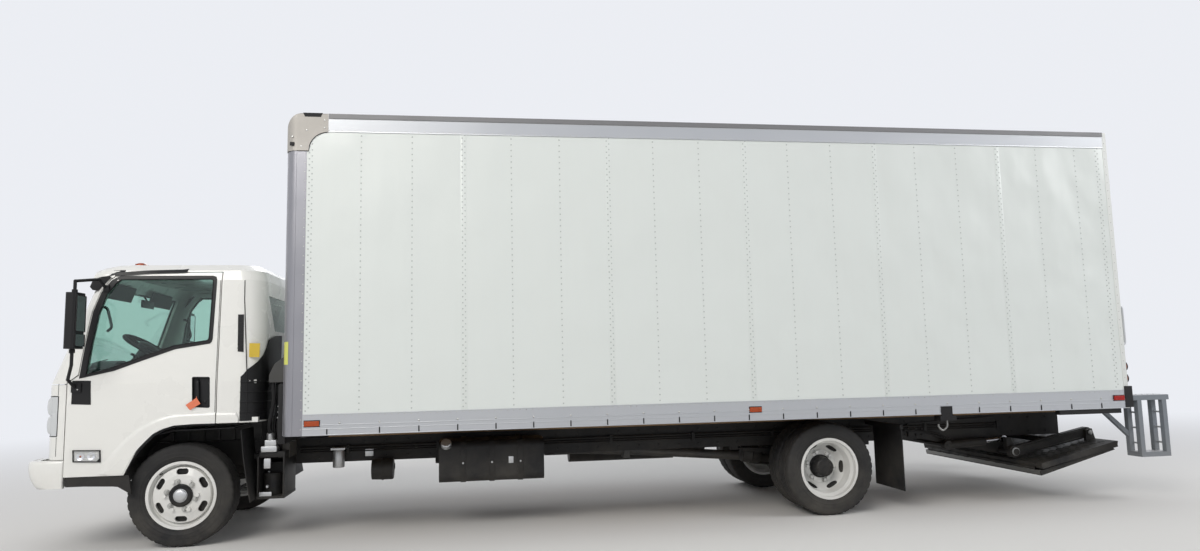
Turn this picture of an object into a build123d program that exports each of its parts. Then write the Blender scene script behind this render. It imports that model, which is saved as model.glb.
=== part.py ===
"""Box truck: low cab-forward chassis, tilting cab, dry-freight body and a liftgate stowed under it.

X runs forward and is measured from the front axle, Y runs left from the centre line and Z runs up
from the ground, in millimetres. Every piece is built in these coordinates, and export() moves it
so that the origin lies under the middle of the whole truck.
"""
import os
from math import cos, hypot, radians, sin

from build123d import *

# Chassis
wheelbase = 5380
frame_half_width = 425
frame_top = 775
rail_depth = 216
rail_flange = 70
rail_web = 12
frame_front = 895
frame_rear = -8120

# Wheels
tyre_radius = 400
tyre_width = 226
flange_radius = 265
flange_width = 190
front_track = 1665
rear_track = 1650
dual_spacing = 255
lug_circle = 222.25
hub_radius = 82
kingpin_offset = 85
spindle_radius = 30
running_gap = 0.4

# Cab
cab_half_width = 1020
cab_roof = 2245
cab_floor = 1000
cab_back = -613
cab_wall = 42
panel_gap = 7
door_front = 822
door_rear = -268
door_bottom = 585
arch_bottom = 960
panel_bottom = 718
panel_top = 1290
cab_pivot_x = 930
cab_pivot_z = 800
pivot_pin = 16

# Body
body_half_width = 1219.2
body_front = -805
panel_front = -968
body_rear = -8245
body_bottom = 850
body_top = 3440
rail_height = 165
top_rail_height = 150
rail_thickness = 9
post_spacing = 406.4
first_post = 427
first_member = 277
member_spacing = 304.8
floor_top = 1010
floor_thickness = 32
wall_sheet = 6
post_depth = 38
roof_thickness = 8
post_radius = 95
nose_radius = 144
nose_wall = 12
cap_rear = -1134
cap_low = 3130

# Rear end
step_length = 400
step_width = 170
gate_pivot_x = -7450
gate_pivot_z = 430
gate_arm = 806
gate_angle = 11.4
platform_half_width = 985
platform_depth = 800
deck_thickness = 46

# The origin lies half way between the bumper's face and the rear steps
bumper_face = 1112
truck_rear = body_rear - 35 - step_length
centre_x = (bumper_face + truck_rear) / 2

os.makedirs("parts", exist_ok=True)


def export(name, shape):
    """Write one piece, or several solids that share a node, about the truck's own origin."""
    solids = [solid.moved(Location((-centre_x, 0, 0))) for solid in shape.solids()]
    whole = solids[0] if len(solids) == 1 else Compound(children=solids)
    export_step(whole, f"parts/{name}.step")


def block(x0, x1, y0, y1, z0, z1):
    """A box between two corners."""
    size = (abs(x1 - x0), abs(y1 - y0), abs(z1 - z0))
    return Pos((x0 + x1) / 2, (y0 + y1) / 2, (z0 + z1) / 2) * Box(*size)


def side_prism(points, y0, y1):
    """A side outline of (x, z) points, pushed from y0 to y1."""
    face = make_face(Polyline(*[(x, 0, z) for x, z in points], close=True))
    return Pos(0, min(y0, y1), 0) * extrude(face, abs(y1 - y0), dir=(0, 1, 0))


def plan_prism(points, z0, z1):
    """A plan outline of (x, y) points, pushed from z0 to z1."""
    face = make_face(Polyline(*[(x, y, 0) for x, y in points], close=True))
    return Pos(0, 0, z0) * extrude(face, z1 - z0, dir=(0, 0, 1))


def cross_prism(points, x0, x1):
    """A cross-section of (y, z) points, pushed from x0 to x1."""
    face = make_face(Polyline(*[(0, y, z) for y, z in points], close=True))
    return Pos(min(x0, x1), 0, 0) * extrude(face, abs(x1 - x0), dir=(1, 0, 0))


def rod(start, end, radius):
    """A round bar between two points."""
    a, b = Vector(*start), Vector(*end)
    plane = Plane(origin=a, z_dir=(b - a))
    return extrude(plane * Circle(radius), (b - a).length)


def lathe(profile, x, y, z):
    """A ring turned about an axle along Y from (radius, offset) points, standing at x, y, z."""
    face = make_face(Polyline(*[(r, w, 0) for r, w in profile], close=True))
    return Pos(x, y, z) * revolve(face, Axis.Y)


def mirrored(shape):
    """The same piece on the truck's right side."""
    return mirror(shape, about=Plane.XZ)


def both_sides(shape):
    """A piece and its mirror image."""
    return [shape, mirrored(shape)]


def fused(shapes):
    """One solid from pieces that touch."""
    first, *rest = shapes
    return first.fuse(*rest).clean() if rest else first


def group(shapes):
    """Solids that share a node and don't touch."""
    return Compound(children=[s for shape in shapes for s in shape.solids()])


# Frame: two channel rails, crossmembers and the cab's supports
def frame():
    out, top, low = frame_half_width, frame_top, frame_top - rail_depth
    inner = out - rail_flange
    channel = [(out, low), (out, top), (inner, top), (inner, top - rail_web), (out - rail_web, top - rail_web),
               (out - rail_web, low + rail_web), (inner, low + rail_web), (inner, low)]
    rail = cross_prism(channel, frame_rear, frame_front)
    pieces = both_sides(rail)
    for x in crossmember_places:
        pieces.append(block(x - 40, x + 40, -out + rail_web, out - rail_web, top - member_drop, top - rail_web))
    support_top = cab_floor - 40.3
    pieces.append(block(-555, -485, -out - 60, out + 60, support_top - 34, support_top))
    for side in (1, -1):
        pieces.append(block(-555, -485, side * (out - 25), side * (out + 60), top, support_top))
        bracket = [(frame_front - 90, top), (frame_front - 45, cab_pivot_z + 22), (cab_pivot_x + 22, cab_pivot_z + 22),
                   (cab_pivot_x + 25, cab_pivot_z - 25), (frame_front, top - 40), (frame_front, top)]
        pieces.append(side_prism(bracket, side * inner, side * out))
        pieces.append(rod((cab_pivot_x, side * (inner - 37), cab_pivot_z), (cab_pivot_x, side * (inner + 5), cab_pivot_z),
                          pivot_pin))
    eye_z = top - rail_depth / 2
    return fused(pieces) - rod((tie_down_x, -out - 5, eye_z), (tie_down_x, out + 5, eye_z), tie_down_radius)


crossmember_places = (840, -1350, -2450, -3750, -4700, -5960, -7000, -8060)
member_drop = 75
tie_down_x = -1780
tie_down_radius = 16


# Wheels: x, wheel centre plane y, and which way the dish faces
def tyre(x, y):
    r, w, f, bead = tyre_radius, tyre_width / 2, flange_radius, flange_radius - 15.7
    half_tread = w - 14
    half = [(bead, 79.5), (f + 0.5, 86), (f + 8, 98), (f + 58, w), (r - 45, w - 4), (r - 12, half_tread + 4),
            (r, half_tread - 10)]
    profile = half + [(radius, -offset) for radius, offset in reversed(half)]
    return lathe(profile, x, y, tyre_radius)


def rim_barrel():
    """Half of a drop-centre rim's section, as (radius, offset) pairs from outer to inner flange."""
    f, w = flange_radius, flange_width / 2
    outer = [(f, w), (f, w - 8), (f - 16, w - 14), (f - 16, w - 40), (f - 38, w - 62), (f - 38, -w + 50),
             (f - 16, -w + 34), (f - 16, -w + 14), (f, -w + 8), (f, -w)]
    inner = [(f - 22, -w), (f - 24, -w + 32), (f - 46, -w + 48), (f - 46, w - 64), (f - 24, w - 40), (f - 22, w)]
    return outer + inner


def studs(radius, size, count, x, y, z, depth):
    """Round studs on a circle, lying along Y."""
    made = []
    for i in range(count):
        a = radians(360 * i / count)
        cx, cz = x + radius * cos(a), z + radius * sin(a)
        made.append(rod((cx, y - depth, cz), (cx, y + depth, cz), size))
    return made


def slots(radius, length, height, count, x, y, z, depth, turn):
    """Rounded slots on a circle, cut along Y, with their length round the circle."""
    slot = Rot(90, 0, 0) * extrude(SlotOverall(length, height), depth, both=True)
    return [Pos(x, y, z) * Rot(0, turn + 360 * i / count, 0) * Pos(0, 0, radius) * slot for i in range(count)]


hand_holes = 6
front_hole_circle = 184
front_hole_size = (92, 46)
rear_hole_circle = 160
rear_hole_size = (70, 34)
lug_nuts = 6


def front_rim(y):
    """Left front wheel: the disc bulges outward, with a hub, six nuts and a grease cap."""
    w = flange_width / 2
    disc = [(flange_radius - 44, w - 62), (flange_radius - 44, w - 50), (215, w - 22), (160, w - 4),
            (hub_radius + 4, w - 4), (hub_radius + 4, w - 18), (158, w - 18), (205, w - 38)]
    wheel = lathe(rim_barrel(), 0, y, tyre_radius) + lathe(disc, 0, y, tyre_radius)
    for cutter in slots(front_hole_circle, *front_hole_size, hand_holes, 0, y, tyre_radius, w, 0):
        wheel -= cutter
    bore = spindle_radius + running_gap
    hub = [(bore, -22), (190, -22), (190, 22), (hub_radius + 5, 24), (hub_radius + 5, w - 2), (hub_radius - 6, w + 6),
           (hub_radius - 6, w + 12), (48, w + 12), (46, w + 30), (38, w + 36), (0, w + 36), (0, w - 25),
           (bore, w - 25)]
    wheel += lathe(hub, 0, y, tyre_radius)
    for nut in studs(lug_circle / 2 + 12, 15, lug_nuts, 0, y + w - 4, tyre_radius, 22):
        wheel += nut
    return wheel


def rear_rims(y_outer):
    """Left rear twins: two deep dished rims, disc to disc, on one hub that reaches into the dish."""
    w = flange_width / 2
    y_inner = y_outer - dual_spacing
    middle = (y_outer + y_inner) / 2
    face = middle - y_outer
    disc = [(flange_radius - 44, w - 62), (flange_radius - 44, w - 80), (205, face + 24), (190, face),
            (100, face), (100, face + 14), (184, face + 14), (198, face + 34)]
    outer = lathe(rim_barrel(), -wheelbase, y_outer, tyre_radius) + lathe(disc, -wheelbase, y_outer, tyre_radius)
    for cutter in slots(rear_hole_circle, *rear_hole_size, hand_holes, -wheelbase, middle, tyre_radius, 60, 0):
        outer -= cutter
    inner = outer.mirror(Plane(origin=(0, middle, 0), z_dir=(0, 1, 0)))
    hub = [(0, -128), (95, -128), (101, 0), (101, 20), (92, 24), (78, 120), (70, 128), (0, 128)]
    wheel = outer + inner + lathe(hub, -wheelbase, middle, tyre_radius)
    for nut in studs(lug_circle / 2 + 12, 15, lug_nuts, -wheelbase, middle, tyre_radius, 40):
        wheel += nut
    return wheel


# Steering and axles
steering_arm_x = -150
steering_arm_y = 100
front_wheel_y = front_track / 2
kingpin_y = front_wheel_y - kingpin_offset
knuckle_half_height = 85


def knuckle():
    """Left steering knuckle: kingpin barrel, stub axle and the arm that the tie rod pulls."""
    top = tyre_radius + knuckle_half_height
    low = tyre_radius - knuckle_half_height
    fork = block(-38, 38, kingpin_y - 30, kingpin_y + 56, low, top)
    eye = block(-60, 60, kingpin_y - 80, kingpin_y + 38, low + 35, top - 35)
    stub = rod((0, kingpin_y + 40, tyre_radius), (0, front_wheel_y + flange_width / 2 - 26, tyre_radius),
               spindle_radius)
    arm = plan_prism([(-20, kingpin_y - 20), (-20, kingpin_y + 30), (steering_arm_x - 30, kingpin_y - 35),
                      (steering_arm_x - 30, kingpin_y - 85), (steering_arm_x + 25, kingpin_y - 85)],
                     low, low + 30)
    return (fork - eye + stub + arm).clean()


def front_axle():
    """Drop-centre I-beam between the two kingpins."""
    eye = kingpin_y
    beam = [(-eye, 360), (-eye, 440), (-560, 430), (-470, 385), (470, 385), (560, 430), (eye, 440), (eye, 360),
            (560, 345), (450, 290), (-450, 290), (-560, 345)]
    body = cross_prism(beam, -42, 42)
    for side in (1, -1):
        body -= block(16, 60, -430, 430, 305, 368)
        body -= block(-60, -16, -430, 430, 305, 368)
        body += rod((0, side * kingpin_y, tyre_radius - 49.5), (0, side * kingpin_y, tyre_radius + 49.5), 34)
    return body.clean()


def tie_rod():
    """Cross tube behind the axle, below the knuckles' arms."""
    low = tyre_radius - knuckle_half_height
    y_end = kingpin_y - 60
    x = steering_arm_x
    return rod((x, -y_end, low - 17.4), (x, y_end, low - 17.4), 17)


spring_half_length = 620
spring_y = 385
spring_width = 70


def leaf_spring(x, axle_z, clamp_top, shackle_z, half_length, leaves):
    """Left leaf pack: a shallow bow of stacked leaves, a clamp on the axle and two hangers to the rail."""
    leaf = 14
    y0, y1 = spring_y - spring_width / 2, spring_y + spring_width / 2
    pack = []
    for i in range(leaves):
        reach = half_length - i * 0.62 * half_length / leaves
        sag = (shackle_z - clamp_top) * (reach / half_length) ** 2
        low = clamp_top - (i + 1) * leaf
        half_up, end_up = low + sag / 4, low + sag
        points = [(x - reach, end_up), (x - reach / 2, half_up), (x, low), (x + reach / 2, half_up), (x + reach, end_up),
                  (x + reach, end_up + leaf), (x + reach / 2, half_up + leaf), (x, low + leaf),
                  (x - reach / 2, half_up + leaf), (x - reach, end_up + leaf)]
        pack.append(side_prism(points, y0, y1))
    rail_low = frame_top - rail_depth
    for end in (-1, 1):
        hx = x + end * (half_length - 20)
        pack.append(block(hx - 35, hx + 35, y0, y1, shackle_z - 20, rail_low - 0.3))
    pack.append(block(x - 60, x + 60, y0 - 4, y1 + 4, axle_z, clamp_top + 12))
    return fused(pack)


nose_reach = 330
nose_z = tyre_radius + 12


def rear_axle():
    """Banjo housing with its differential and two tubes out to the hubs."""
    y_end = rear_track / 2 - 128.3
    tube = rod((-wheelbase, -y_end, tyre_radius), (-wheelbase, y_end, tyre_radius), 62)
    banjo = Pos(-wheelbase, 0, tyre_radius) * (Rot(90, 0, 0) * Cylinder(190, 150))
    nose = rod((-wheelbase + 100, 0, nose_z), (-wheelbase + nose_reach, 0, nose_z), 78)
    body = fused([tube, banjo, nose])
    for side in (1, -1):
        body = body.fuse(block(-wheelbase - 60, -wheelbase + 60, side * 340, side * 430, tyre_radius - 66,
                               tyre_radius + 66))
    return body.clean()


# Power train, plain blocks at their real places
def engine():
    return block(-430, 430, -270, 270, 480, 1110)


def driveline():
    """Gearbox behind the engine, then three shafts with a hanger bearing at each joint."""
    bell = Pos(-430.3 - 110, 0, 690) * (Rot(0, 90, 0) * Cone(150, 235, 220))
    box = block(-1150, -640, -150, 150, 545, 820)
    nose = -wheelbase + nose_reach + 0.3
    joints = [(-1150, 640), (-2450, 590), (-3750, 520), (nose + 20, nose_z)]
    pieces = [bell, box, rod((nose, 0, nose_z), (nose + 40, 0, nose_z), 60)]
    for (x0, z0), (x1, z1) in zip(joints, joints[1:]):
        pieces.append(rod((x0 + 2, 0, z0), (x1, 0, z1), 45))
    for x, z in joints[1:3]:
        pieces.append(block(x - 30, x + 30, -70, 70, z - 70, frame_top - member_drop - 0.3))
    return fused(pieces)


# Left and right chassis units
def fuel_tank():
    tank = block(-2880, -2000, frame_half_width + 35, frame_half_width + 475, 400, 740)
    tank = fillet(tank.edges().filter_by(Axis.X), 60)
    straps = [block(x - 25, x + 25, frame_half_width, frame_half_width + 60, 560, 745) for x in (-2680, -2200)]
    return fused([tank] + straps)


def battery_box():
    """Battery box and two air tanks on the right rail."""
    y = -frame_half_width
    box = block(-1650, -1150, y - 400, y - 30, 470, 745)
    pieces = [box, block(-1500, -1300, y - 40, y, 580, 740)]
    for z in (480, 660):
        pieces.append(rod((-2750, y - 180, z), (-1900, y - 180, z), 85))
    pieces.append(block(-2380, -2300, y - 180, y, 470, 745))
    return group([fused(pieces[:2]), fused(pieces[2:])])


def exhaust():
    """Silencer across the right rail's underside and its tail pipe."""
    can = rod((-4350, -560, 480), (-3250, -560, 480), 120)
    pipe = rod((-4349, -560, 480), (-4700, -560, 480), 45)
    lead = rod((-3251, -560, 480), (-3000, -560, 480), 45)
    hanger = block(-3850, -3750, -600, -frame_half_width, 560, 700)
    return fused([can, pipe, lead, hanger])


def air_duct():
    """Moulded intake duct that stands behind the cab on the left."""
    points = [(cab_back - 30, 1270), (cab_back - 30, 1330), (cab_back - 70, 1420), (cab_back - 150, 1480),
              (body_front + 20, 1480), (body_front + 20, 1270)]
    hood = side_prism(points, 560, 930)
    neck = block(cab_back - 150, cab_back - 60, 600, 700, 720, 1271)
    foot = block(cab_back - 150, cab_back - 60, frame_half_width, 700, 640, 760)
    return fused([hood, neck, foot])


guard_x = -470
flap_distance = 680


def mudguards():
    """Guards behind the front wheels and flaps behind the rear ones."""
    curve = [(guard_x + 20, 900), (guard_x, 700), (guard_x - 30, 500), (guard_x - 60, 330),
             (guard_x - 66, 330), (guard_x - 36, 500), (guard_x - 6, 700), (guard_x + 14, 900)]
    guard = side_prism(curve, 640, 990)
    stay = block(guard_x - 60, guard_x - 8, frame_half_width, 700, 640, 680)
    x, y0, y1 = -wheelbase - flap_distance, rear_track / 2 - 265, rear_track / 2 + 255
    flap = block(x - 4, x + 4, y0, y1, 180, 720)
    hanger = block(x - 16, x + 16, frame_half_width, y1, 721, 760)
    tongue = block(x - 4, x + 4, y0, y1, 700, 730)
    return group(both_sides(fused([guard, stay])) + both_sides(fused([flap, hanger, tongue])))


def equipment():
    """Black units that hang on the left rail between the cab and the body."""
    y = frame_half_width
    tray = block(-760, -545, y, y + 420, 330, 350)
    side = block(-640, -560, y, y + 30, 330, 700)
    pump = rod((-640, y + 250, 351), (-640, y + 250, 520), 80)
    drier = block(-740, -560, y + 30, y + 200, 400, 600)
    return fused([tray, side, pump, drier])


# Bumper: plan outlines at a few heights
# Columns: height, face at the centre, corner radius
bumper_table = ((500, 1040, 90), (560, 1085, 95), (640, 1106, 100), (700, 1112, 100), (712, 1100, 95))
bumper_rear = 826
bumper_bow = 42


def bowed_outline(z, front, half, rear, front_radius, rear_radius, bow):
    """A closed plan outline: bowed front, rounded corners, straight sides and back."""
    corner = front - bow
    r, q = front_radius, rear_radius
    front_arc = ThreePointArc((corner, -half + r, z), (front, 0, z), (corner, half - r, z))
    left = ThreePointArc((corner, half - r, z), (corner - 0.3 * r, half - 0.28 * r, z), (corner - r, half, z))
    side_left = Line((corner - r, half, z), (rear + q, half, z))
    back_left = RadiusArc((rear + q, half, z), (rear, half - q, z), -q)
    back = Line((rear, half - q, z), (rear, -half + q, z))
    back_right = RadiusArc((rear, -half + q, z), (rear + q, -half, z), -q)
    side_right = Line((rear + q, -half, z), (corner - r, -half, z))
    right = ThreePointArc((corner - r, -half, z), (corner - 0.3 * r, -half + 0.28 * r, z), (corner, -half + r, z))
    return make_face(Curve() + [front_arc, left, side_left, back_left, back, back_right, side_right, right])


def bumper():
    wall = 34
    outer = loft([bowed_outline(z, f, cab_half_width, bumper_rear - 60, r, 20, bumper_bow)
                  for z, f, r in bumper_table], ruled=True)
    inner = loft([bowed_outline(z, f - wall, cab_half_width - wall, bumper_rear - 90, r - 20, 10, bumper_bow)
                  for z, f, r in ((499, 1040, 90), (560, 1085, 95), (640, 1106, 100), (713, 1104, 95))], ruled=True)
    shell = outer - inner - block(bumper_rear - 100, bumper_rear, -1100, 1100, 400, 800)
    intake = block(900, 1200, -330, 330, 540, 640)
    shell -= intake
    for side in (1, -1):
        shell -= block(900, 1200, side * 620, side * 780, 560, 640)
    stays = [block(frame_front + 0.3, 1070, side * 360, side * 425, 580, 655) for side in (1, -1)]
    beam = block(1040, 1076, -700, 700, 645, 690)
    return fused([shell, beam] + stays)


# Cab: plan outlines at a few heights, shared by the shell, the front panel and the doors
# Columns: height, front at the centre, half width, back
cab_table = ((560, 1030, 1020, -613), (1290, 1040, 1020, -613), (2110, 752, 962, -590), (2190, 700, 936, -570),
             (2245, 560, 850, -500))
cab_bow = 60
cab_corner = 120
cab_back_corner = 165


def cab_block(inset, drop=0):
    """The cab's outer form, or the room inside it when inset by the wall's thickness."""
    sections = []
    for z, front, half, back in cab_table:
        height = z - drop if z == cab_table[-1][0] else z
        sections.append(bowed_outline(height, front - inset, half - inset, back + inset, cab_corner - inset * 0.6,
                                      cab_back_corner - inset * 0.8, cab_bow))
    return loft(sections, ruled=True)


def door_outline(grow):
    """The left door's edge: sloped windscreen pillar, roof edge, rear edge and wheel arch."""
    g = grow
    points = [(door_front + g, door_bottom - g), (door_front + g, 1300 + g), (745 + g, 1360 + g), (719 + g, 1601),
              (684 + g, 1858), (632 + g, 2020), (560 + g, 2120 + g), (500, 2165 + g),
              (door_rear - g, 2172 + g), (door_rear - g, arch_bottom - g), (40, arch_bottom - g),
              (190, 900 - g), (300 - g, 780 - g), (392 - g, door_bottom - g)]
    return points


def window_outline(grow):
    g = grow
    return [(706 + g, 1348 - g), (682 + g, 1601), (646 + g, 1850), (596 + g, 2003), (530 + g, 2092), (490, 2128 + g),
            (-195 - g, 2128 + g), (-215 - g, 2105), (-205 - g, 1640), (-190, 1606 - g), (60, 1566 - g),
            (300, 1480 - g), (500, 1405 - g)]


handle_recess = ((-83, 1322), (-92, 1330), (-208, 1327), (-217, 1319), (-223, 1092), (-214, 1083), (-100, 1091),
                 (-91, 1100))
recess_depth = 24
flare_lift = 8
flare_outline = ((508, 585), (505, 600), (397, 789), (293, 890), (192, 960), (27, 1011), (-268, 1017), (-268, 960),
                 (40, 960), (190, 900), (300, 780), (392, 585))
rear_flare_outline = ((-275, 960), (-275, 1017), (-430, 1014), (-430, 960))
screen_outline = ((-860, 1345), (-790, 2085), (790, 2085), (860, 1345))
back_outline = ((-590, 1700), (-780, 1990), (780, 1990), (590, 1700))


def shrunk(outline, gap=0.3):
    """A four-cornered opening's outline, smaller by a gap on every side."""
    middle = (outline[0][1] + outline[1][1]) / 2
    return [(y + (gap if y < 0 else -gap), z + (gap if z < middle else -gap)) for y, z in outline]


def cab_forms():
    outer = cab_block(0)
    inner = cab_block(cab_wall, cab_wall)
    return outer, inner


def flare(outline):
    """A raised lip of the left side's skin over the wheel arch."""
    return (cab_block(-flare_lift) - cab_block(4)) & side_prism(outline, 700, 1200)


def cab_shell(outer, inner):
    """Roof, pillars, side posts, back wall and floor, with door, windscreen and rear window apertures."""
    skin = outer - inner
    cowl = panel_top + panel_gap
    keep = side_prism([(cab_back - 50, arch_bottom), (cab_back - 50, 2400), (1100, 2400), (1100, cowl),
                       (700, cowl), (700, arch_bottom)], -1200, 1200)
    skin = skin & keep
    for side in (1, -1):
        opening = side_prism(door_outline(panel_gap), side * 600, side * 1200)
        skin -= opening
    screen = cross_prism(screen_outline, 500, 1300)
    skin -= screen
    back_glass = cross_prism(back_outline, -800, -400)
    skin -= back_glass
    plate = block(cab_back + 30, 860, -cab_half_width + 75, cab_half_width - 75, cab_floor - 40, cab_floor)
    plate += block(850, 930, -860, 860, cab_floor - 40, cab_floor)
    tunnel_out = block(cab_back + 30, 500, -350, 350, cab_floor - 40, 1180)
    tunnel_in = block(cab_back - 50, 465, -315, 315, cab_floor - 60, 1145)
    sill = [block(cab_back + 30, door_rear - 20, side * 900, side * 1000, arch_bottom, cab_floor) for side in (1, -1)]
    bulkhead = block(880, 915, -860, 860, cab_floor - 40, cowl + 30)
    shelf = block(880, 1100, -960, 960, cowl, cowl + 30) & cab_block(2)
    seats_for_panel = [block(910, 1100, y - 40, y + 40, 1110, 1150) & cab_block(cab_wall + 0.3)
                       for y in (-520, 520)]
    lug_low, lug_in = cab_pivot_z - 25, frame_half_width - rail_flange - 35
    lugs = [block(cab_pivot_x - 25, cab_pivot_x + 25, side * lug_in, side * (lug_in + 25), lug_low, cab_floor - 39)
            for side in (1, -1)]
    shell = fused([skin, plate + tunnel_out - tunnel_in, bulkhead, shelf] + seats_for_panel + sill + lugs
                  + both_sides(flare(rear_flare_outline)))
    return shell - rod((cab_pivot_x, -lug_in - 30, cab_pivot_z), (cab_pivot_x, lug_in + 30, cab_pivot_z),
                       pivot_pin + running_gap)


# Grille openings in the front panel
# Columns: lower edge, upper edge, half width
grille_table = ((780, 850, 560), (905, 955, 500), (985, 1035, 500))
grille_webs = (-375, -125, 125, 375)
grille_depth = 34


def front_panel(outer, inner):
    """Lower front of the cab with grille slots, wrapped round to the doors' front edges."""
    band = block(door_front + panel_gap, 1200, -1100, 1100, panel_bottom, panel_top)
    panel = (outer - inner) & band
    for z0, z1, half in grille_table:
        panel -= block(900, 1200, -half, half, z0, z1)
    for side in (1, -1):
        panel -= lamp_pocket(side)
    bars = []
    for z0, z1, half in grille_table:
        middle = (z0 + z1) / 2
        bars.append(block(900, 1200, -half - 4, half + 4, middle - 7, middle + 7))
        bars += [block(900, 1200, y - 6, y + 6, z0 - 3, z1 + 3) for y in grille_webs]
    return fused([panel, (cab_block(10) - cab_block(grille_depth)) & fused(bars)])


def lamp_pocket(side, gap=0):
    return block(880, 1200, side * (620 + gap), side * (1100 - gap), 895 + gap, 1205 - gap)


def cab_lamps():
    """Headlamps in the front corners and five marker lamps on the roof."""
    lamp_skin = cab_block(2) - cab_block(cab_wall - 4)
    pieces = []
    for side in (1, -1):
        pocket = lamp_pocket(side, 0.3) & block(860, 1200, -1000, 1000, 800, 1300)
        pieces.append(lamp_skin & pocket)
    for y in (-640, -180, 0, 180, 640):
        pieces.append(block(430, 500, y - 45, y + 45, cab_roof + 0.3, cab_roof + 34))
    return group(pieces)


def cab_glass():
    """Windscreen and rear window, laid in their apertures."""
    pane = cab_block(8) - cab_block(20)
    screen = pane & cross_prism(shrunk(screen_outline), 500, 1300)
    back = pane & cross_prism(shrunk(back_outline), -800, -400)
    return group([screen, back])


wheel_y = 500


def dashboard():
    """Dash moulding across the cab, with the steering column and wheel."""
    dash = side_prism([(879.7, 1140), (879.7, 1320), (780, 1325), (640, 1300), (600, 1250), (640, 1140)], -880, 880)
    direction = Vector(-170, 0, 130).normalized()
    centre = Vector(470, wheel_y, 1360)
    start = centre - direction * 230
    plane = Plane(origin=centre, x_dir=(0, 1, 0), z_dir=direction)
    column = rod(tuple(start), tuple(centre + direction * 15), 40)
    ring = plane * Torus(205, 15)
    spokes = [rod(tuple(centre), tuple(centre + plane.x_dir * (200 * cos(a)) + plane.y_dir * (200 * sin(a))), 12)
              for a in (radians(5), radians(175), radians(270))]
    return fused([dash, column, ring] + spokes)


def seats():
    """Driver's seat and a two-place bench, each a cushion, backrest and head restraints."""
    pieces = []
    for y, half in ((520, 255), (-320, 440)):
        if y > 400:
            base = block(-330, 160, 352, y + half - 30, 1000.4, 1290)
        else:
            base = block(-330, 160, y - half + 30, y + half - 30, 1180.4, 1290)
        cushion = block(-350, 200, y - half, y + half, 1290, 1410)
        back = side_prism([(-350, 1400), (-230, 1400), (-350, 1980), (-440, 1980)], y - half, y + half)
        cushion = fillet(cushion.edges().filter_by(Axis.Y), 40)
        rest = [side_prism([(-350, 1975), (-440, 1975), (-470, 2120), (-390, 2120)], c - 120, c + 120)
                for c in ((y,) if half < 300 else (y - 220, y + 220))]
        pieces.append(fused([base, cushion, back] + rest))
    return group(pieces)


def arch_liners():
    """Black liner over the left front wheel, its lip, and the step ahead of it."""
    step = block(452, 806, 700, cab_half_width - 6, 510, 572)
    ramp = side_prism([(452, 510), (440, 560), (396, 690), (316, 800), (200, 872), (60, 905), (-400, 912), (-400, 920),
                       (60, 913), (206, 880), (322, 806), (404, 694), (460, 572)], 560, cab_half_width - 62)
    riser = block(470, 520, 560, 700, 510, cab_floor - 40.3)
    plate = block(452, 520, 560, 1000, 510, 572)
    return fused([step, ramp, riser, plate])


def door(outer):
    """Left door: the cab's own side skin, thick as the wall, with its window cut."""
    leaf = (outer - cab_block(cab_wall + 18)) & side_prism(door_outline(0), 600, 1200)
    leaf -= side_prism(window_outline(0), 500, 1300)
    leaf -= side_prism(handle_recess, cab_half_width - recess_depth, 1200)
    return leaf + flare(flare_outline)


def door_glass():
    pane = (cab_block(14) - cab_block(20)) & side_prism(window_outline(-1), 600, 1200)
    return pane


mirror_y = 1215


def mirror_arms():
    """Left mirror: a tall head on two bent arms that are bolted to the door."""
    head = block(664, 745, mirror_y - 85, mirror_y + 85, 1562, 1988)
    head = fillet(head.edges().filter_by(Axis.Z), 28)
    top_arm = [((598, 975, 2050), (620, 1040, 2110)), ((620, 1040, 2110), (712, mirror_y, 2080)),
               ((712, mirror_y, 2080), (712, mirror_y, 1980))]
    low_arm = [((765, 1033, 1270), (785, 1100, 1330)), ((785, 1100, 1330), (712, mirror_y, 1440)),
               ((712, mirror_y, 1440), (712, mirror_y, 1570))]
    pieces = [head]
    for a, b in top_arm + low_arm:
        pieces.append(rod(a, b, 12))
        pieces.append(Pos(*b) * Sphere(12.8))
    pieces.append(block(570, 612, 940, 984, 2020, 2070) - cab_block(-0.3))
    pieces.append(block(720, 790, 1000, cab_half_width + 14, 1230, 1300) - cab_block(-0.3))
    return fused(pieces)


# Body
def body_floor():
    """Hardwood floor on cross-members, over two long sills that lie on the frame."""
    half = body_half_width - rail_thickness - 0.3
    deck = block(body_rear + 90, panel_front - 40, -half + post_depth + 10, half - post_depth - 10,
                 floor_top - floor_thickness, floor_top)
    pieces = [deck]
    x = panel_front - first_member
    while x > body_rear + 150:
        pieces.append(block(x - 25, x + 25, -half, half, body_bottom + 8, floor_top - floor_thickness))
        x -= member_spacing
    for side in (1, -1):
        pieces.append(block(body_rear + 110, panel_front - 60, side * (frame_half_width - 70), side * frame_half_width,
                            frame_top, body_bottom + 9))
    return fused(pieces)


def body_side():
    """Left wall: outer sheet with a hat-section post behind every rivet column."""
    y = body_half_width
    low, high = body_bottom + rail_height - 45, body_top - 20
    sheet = block(body_rear + 45, panel_front, y - wall_sheet - 2, y - 2, low, high)
    pieces = [sheet]
    x = panel_front - first_post
    while x > body_rear + 90:
        pieces.append(block(x - 30, x + 30, y - wall_sheet - post_depth, y - wall_sheet, low + 40, high - 10))
        x -= post_spacing
    return fused(pieces)


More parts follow.
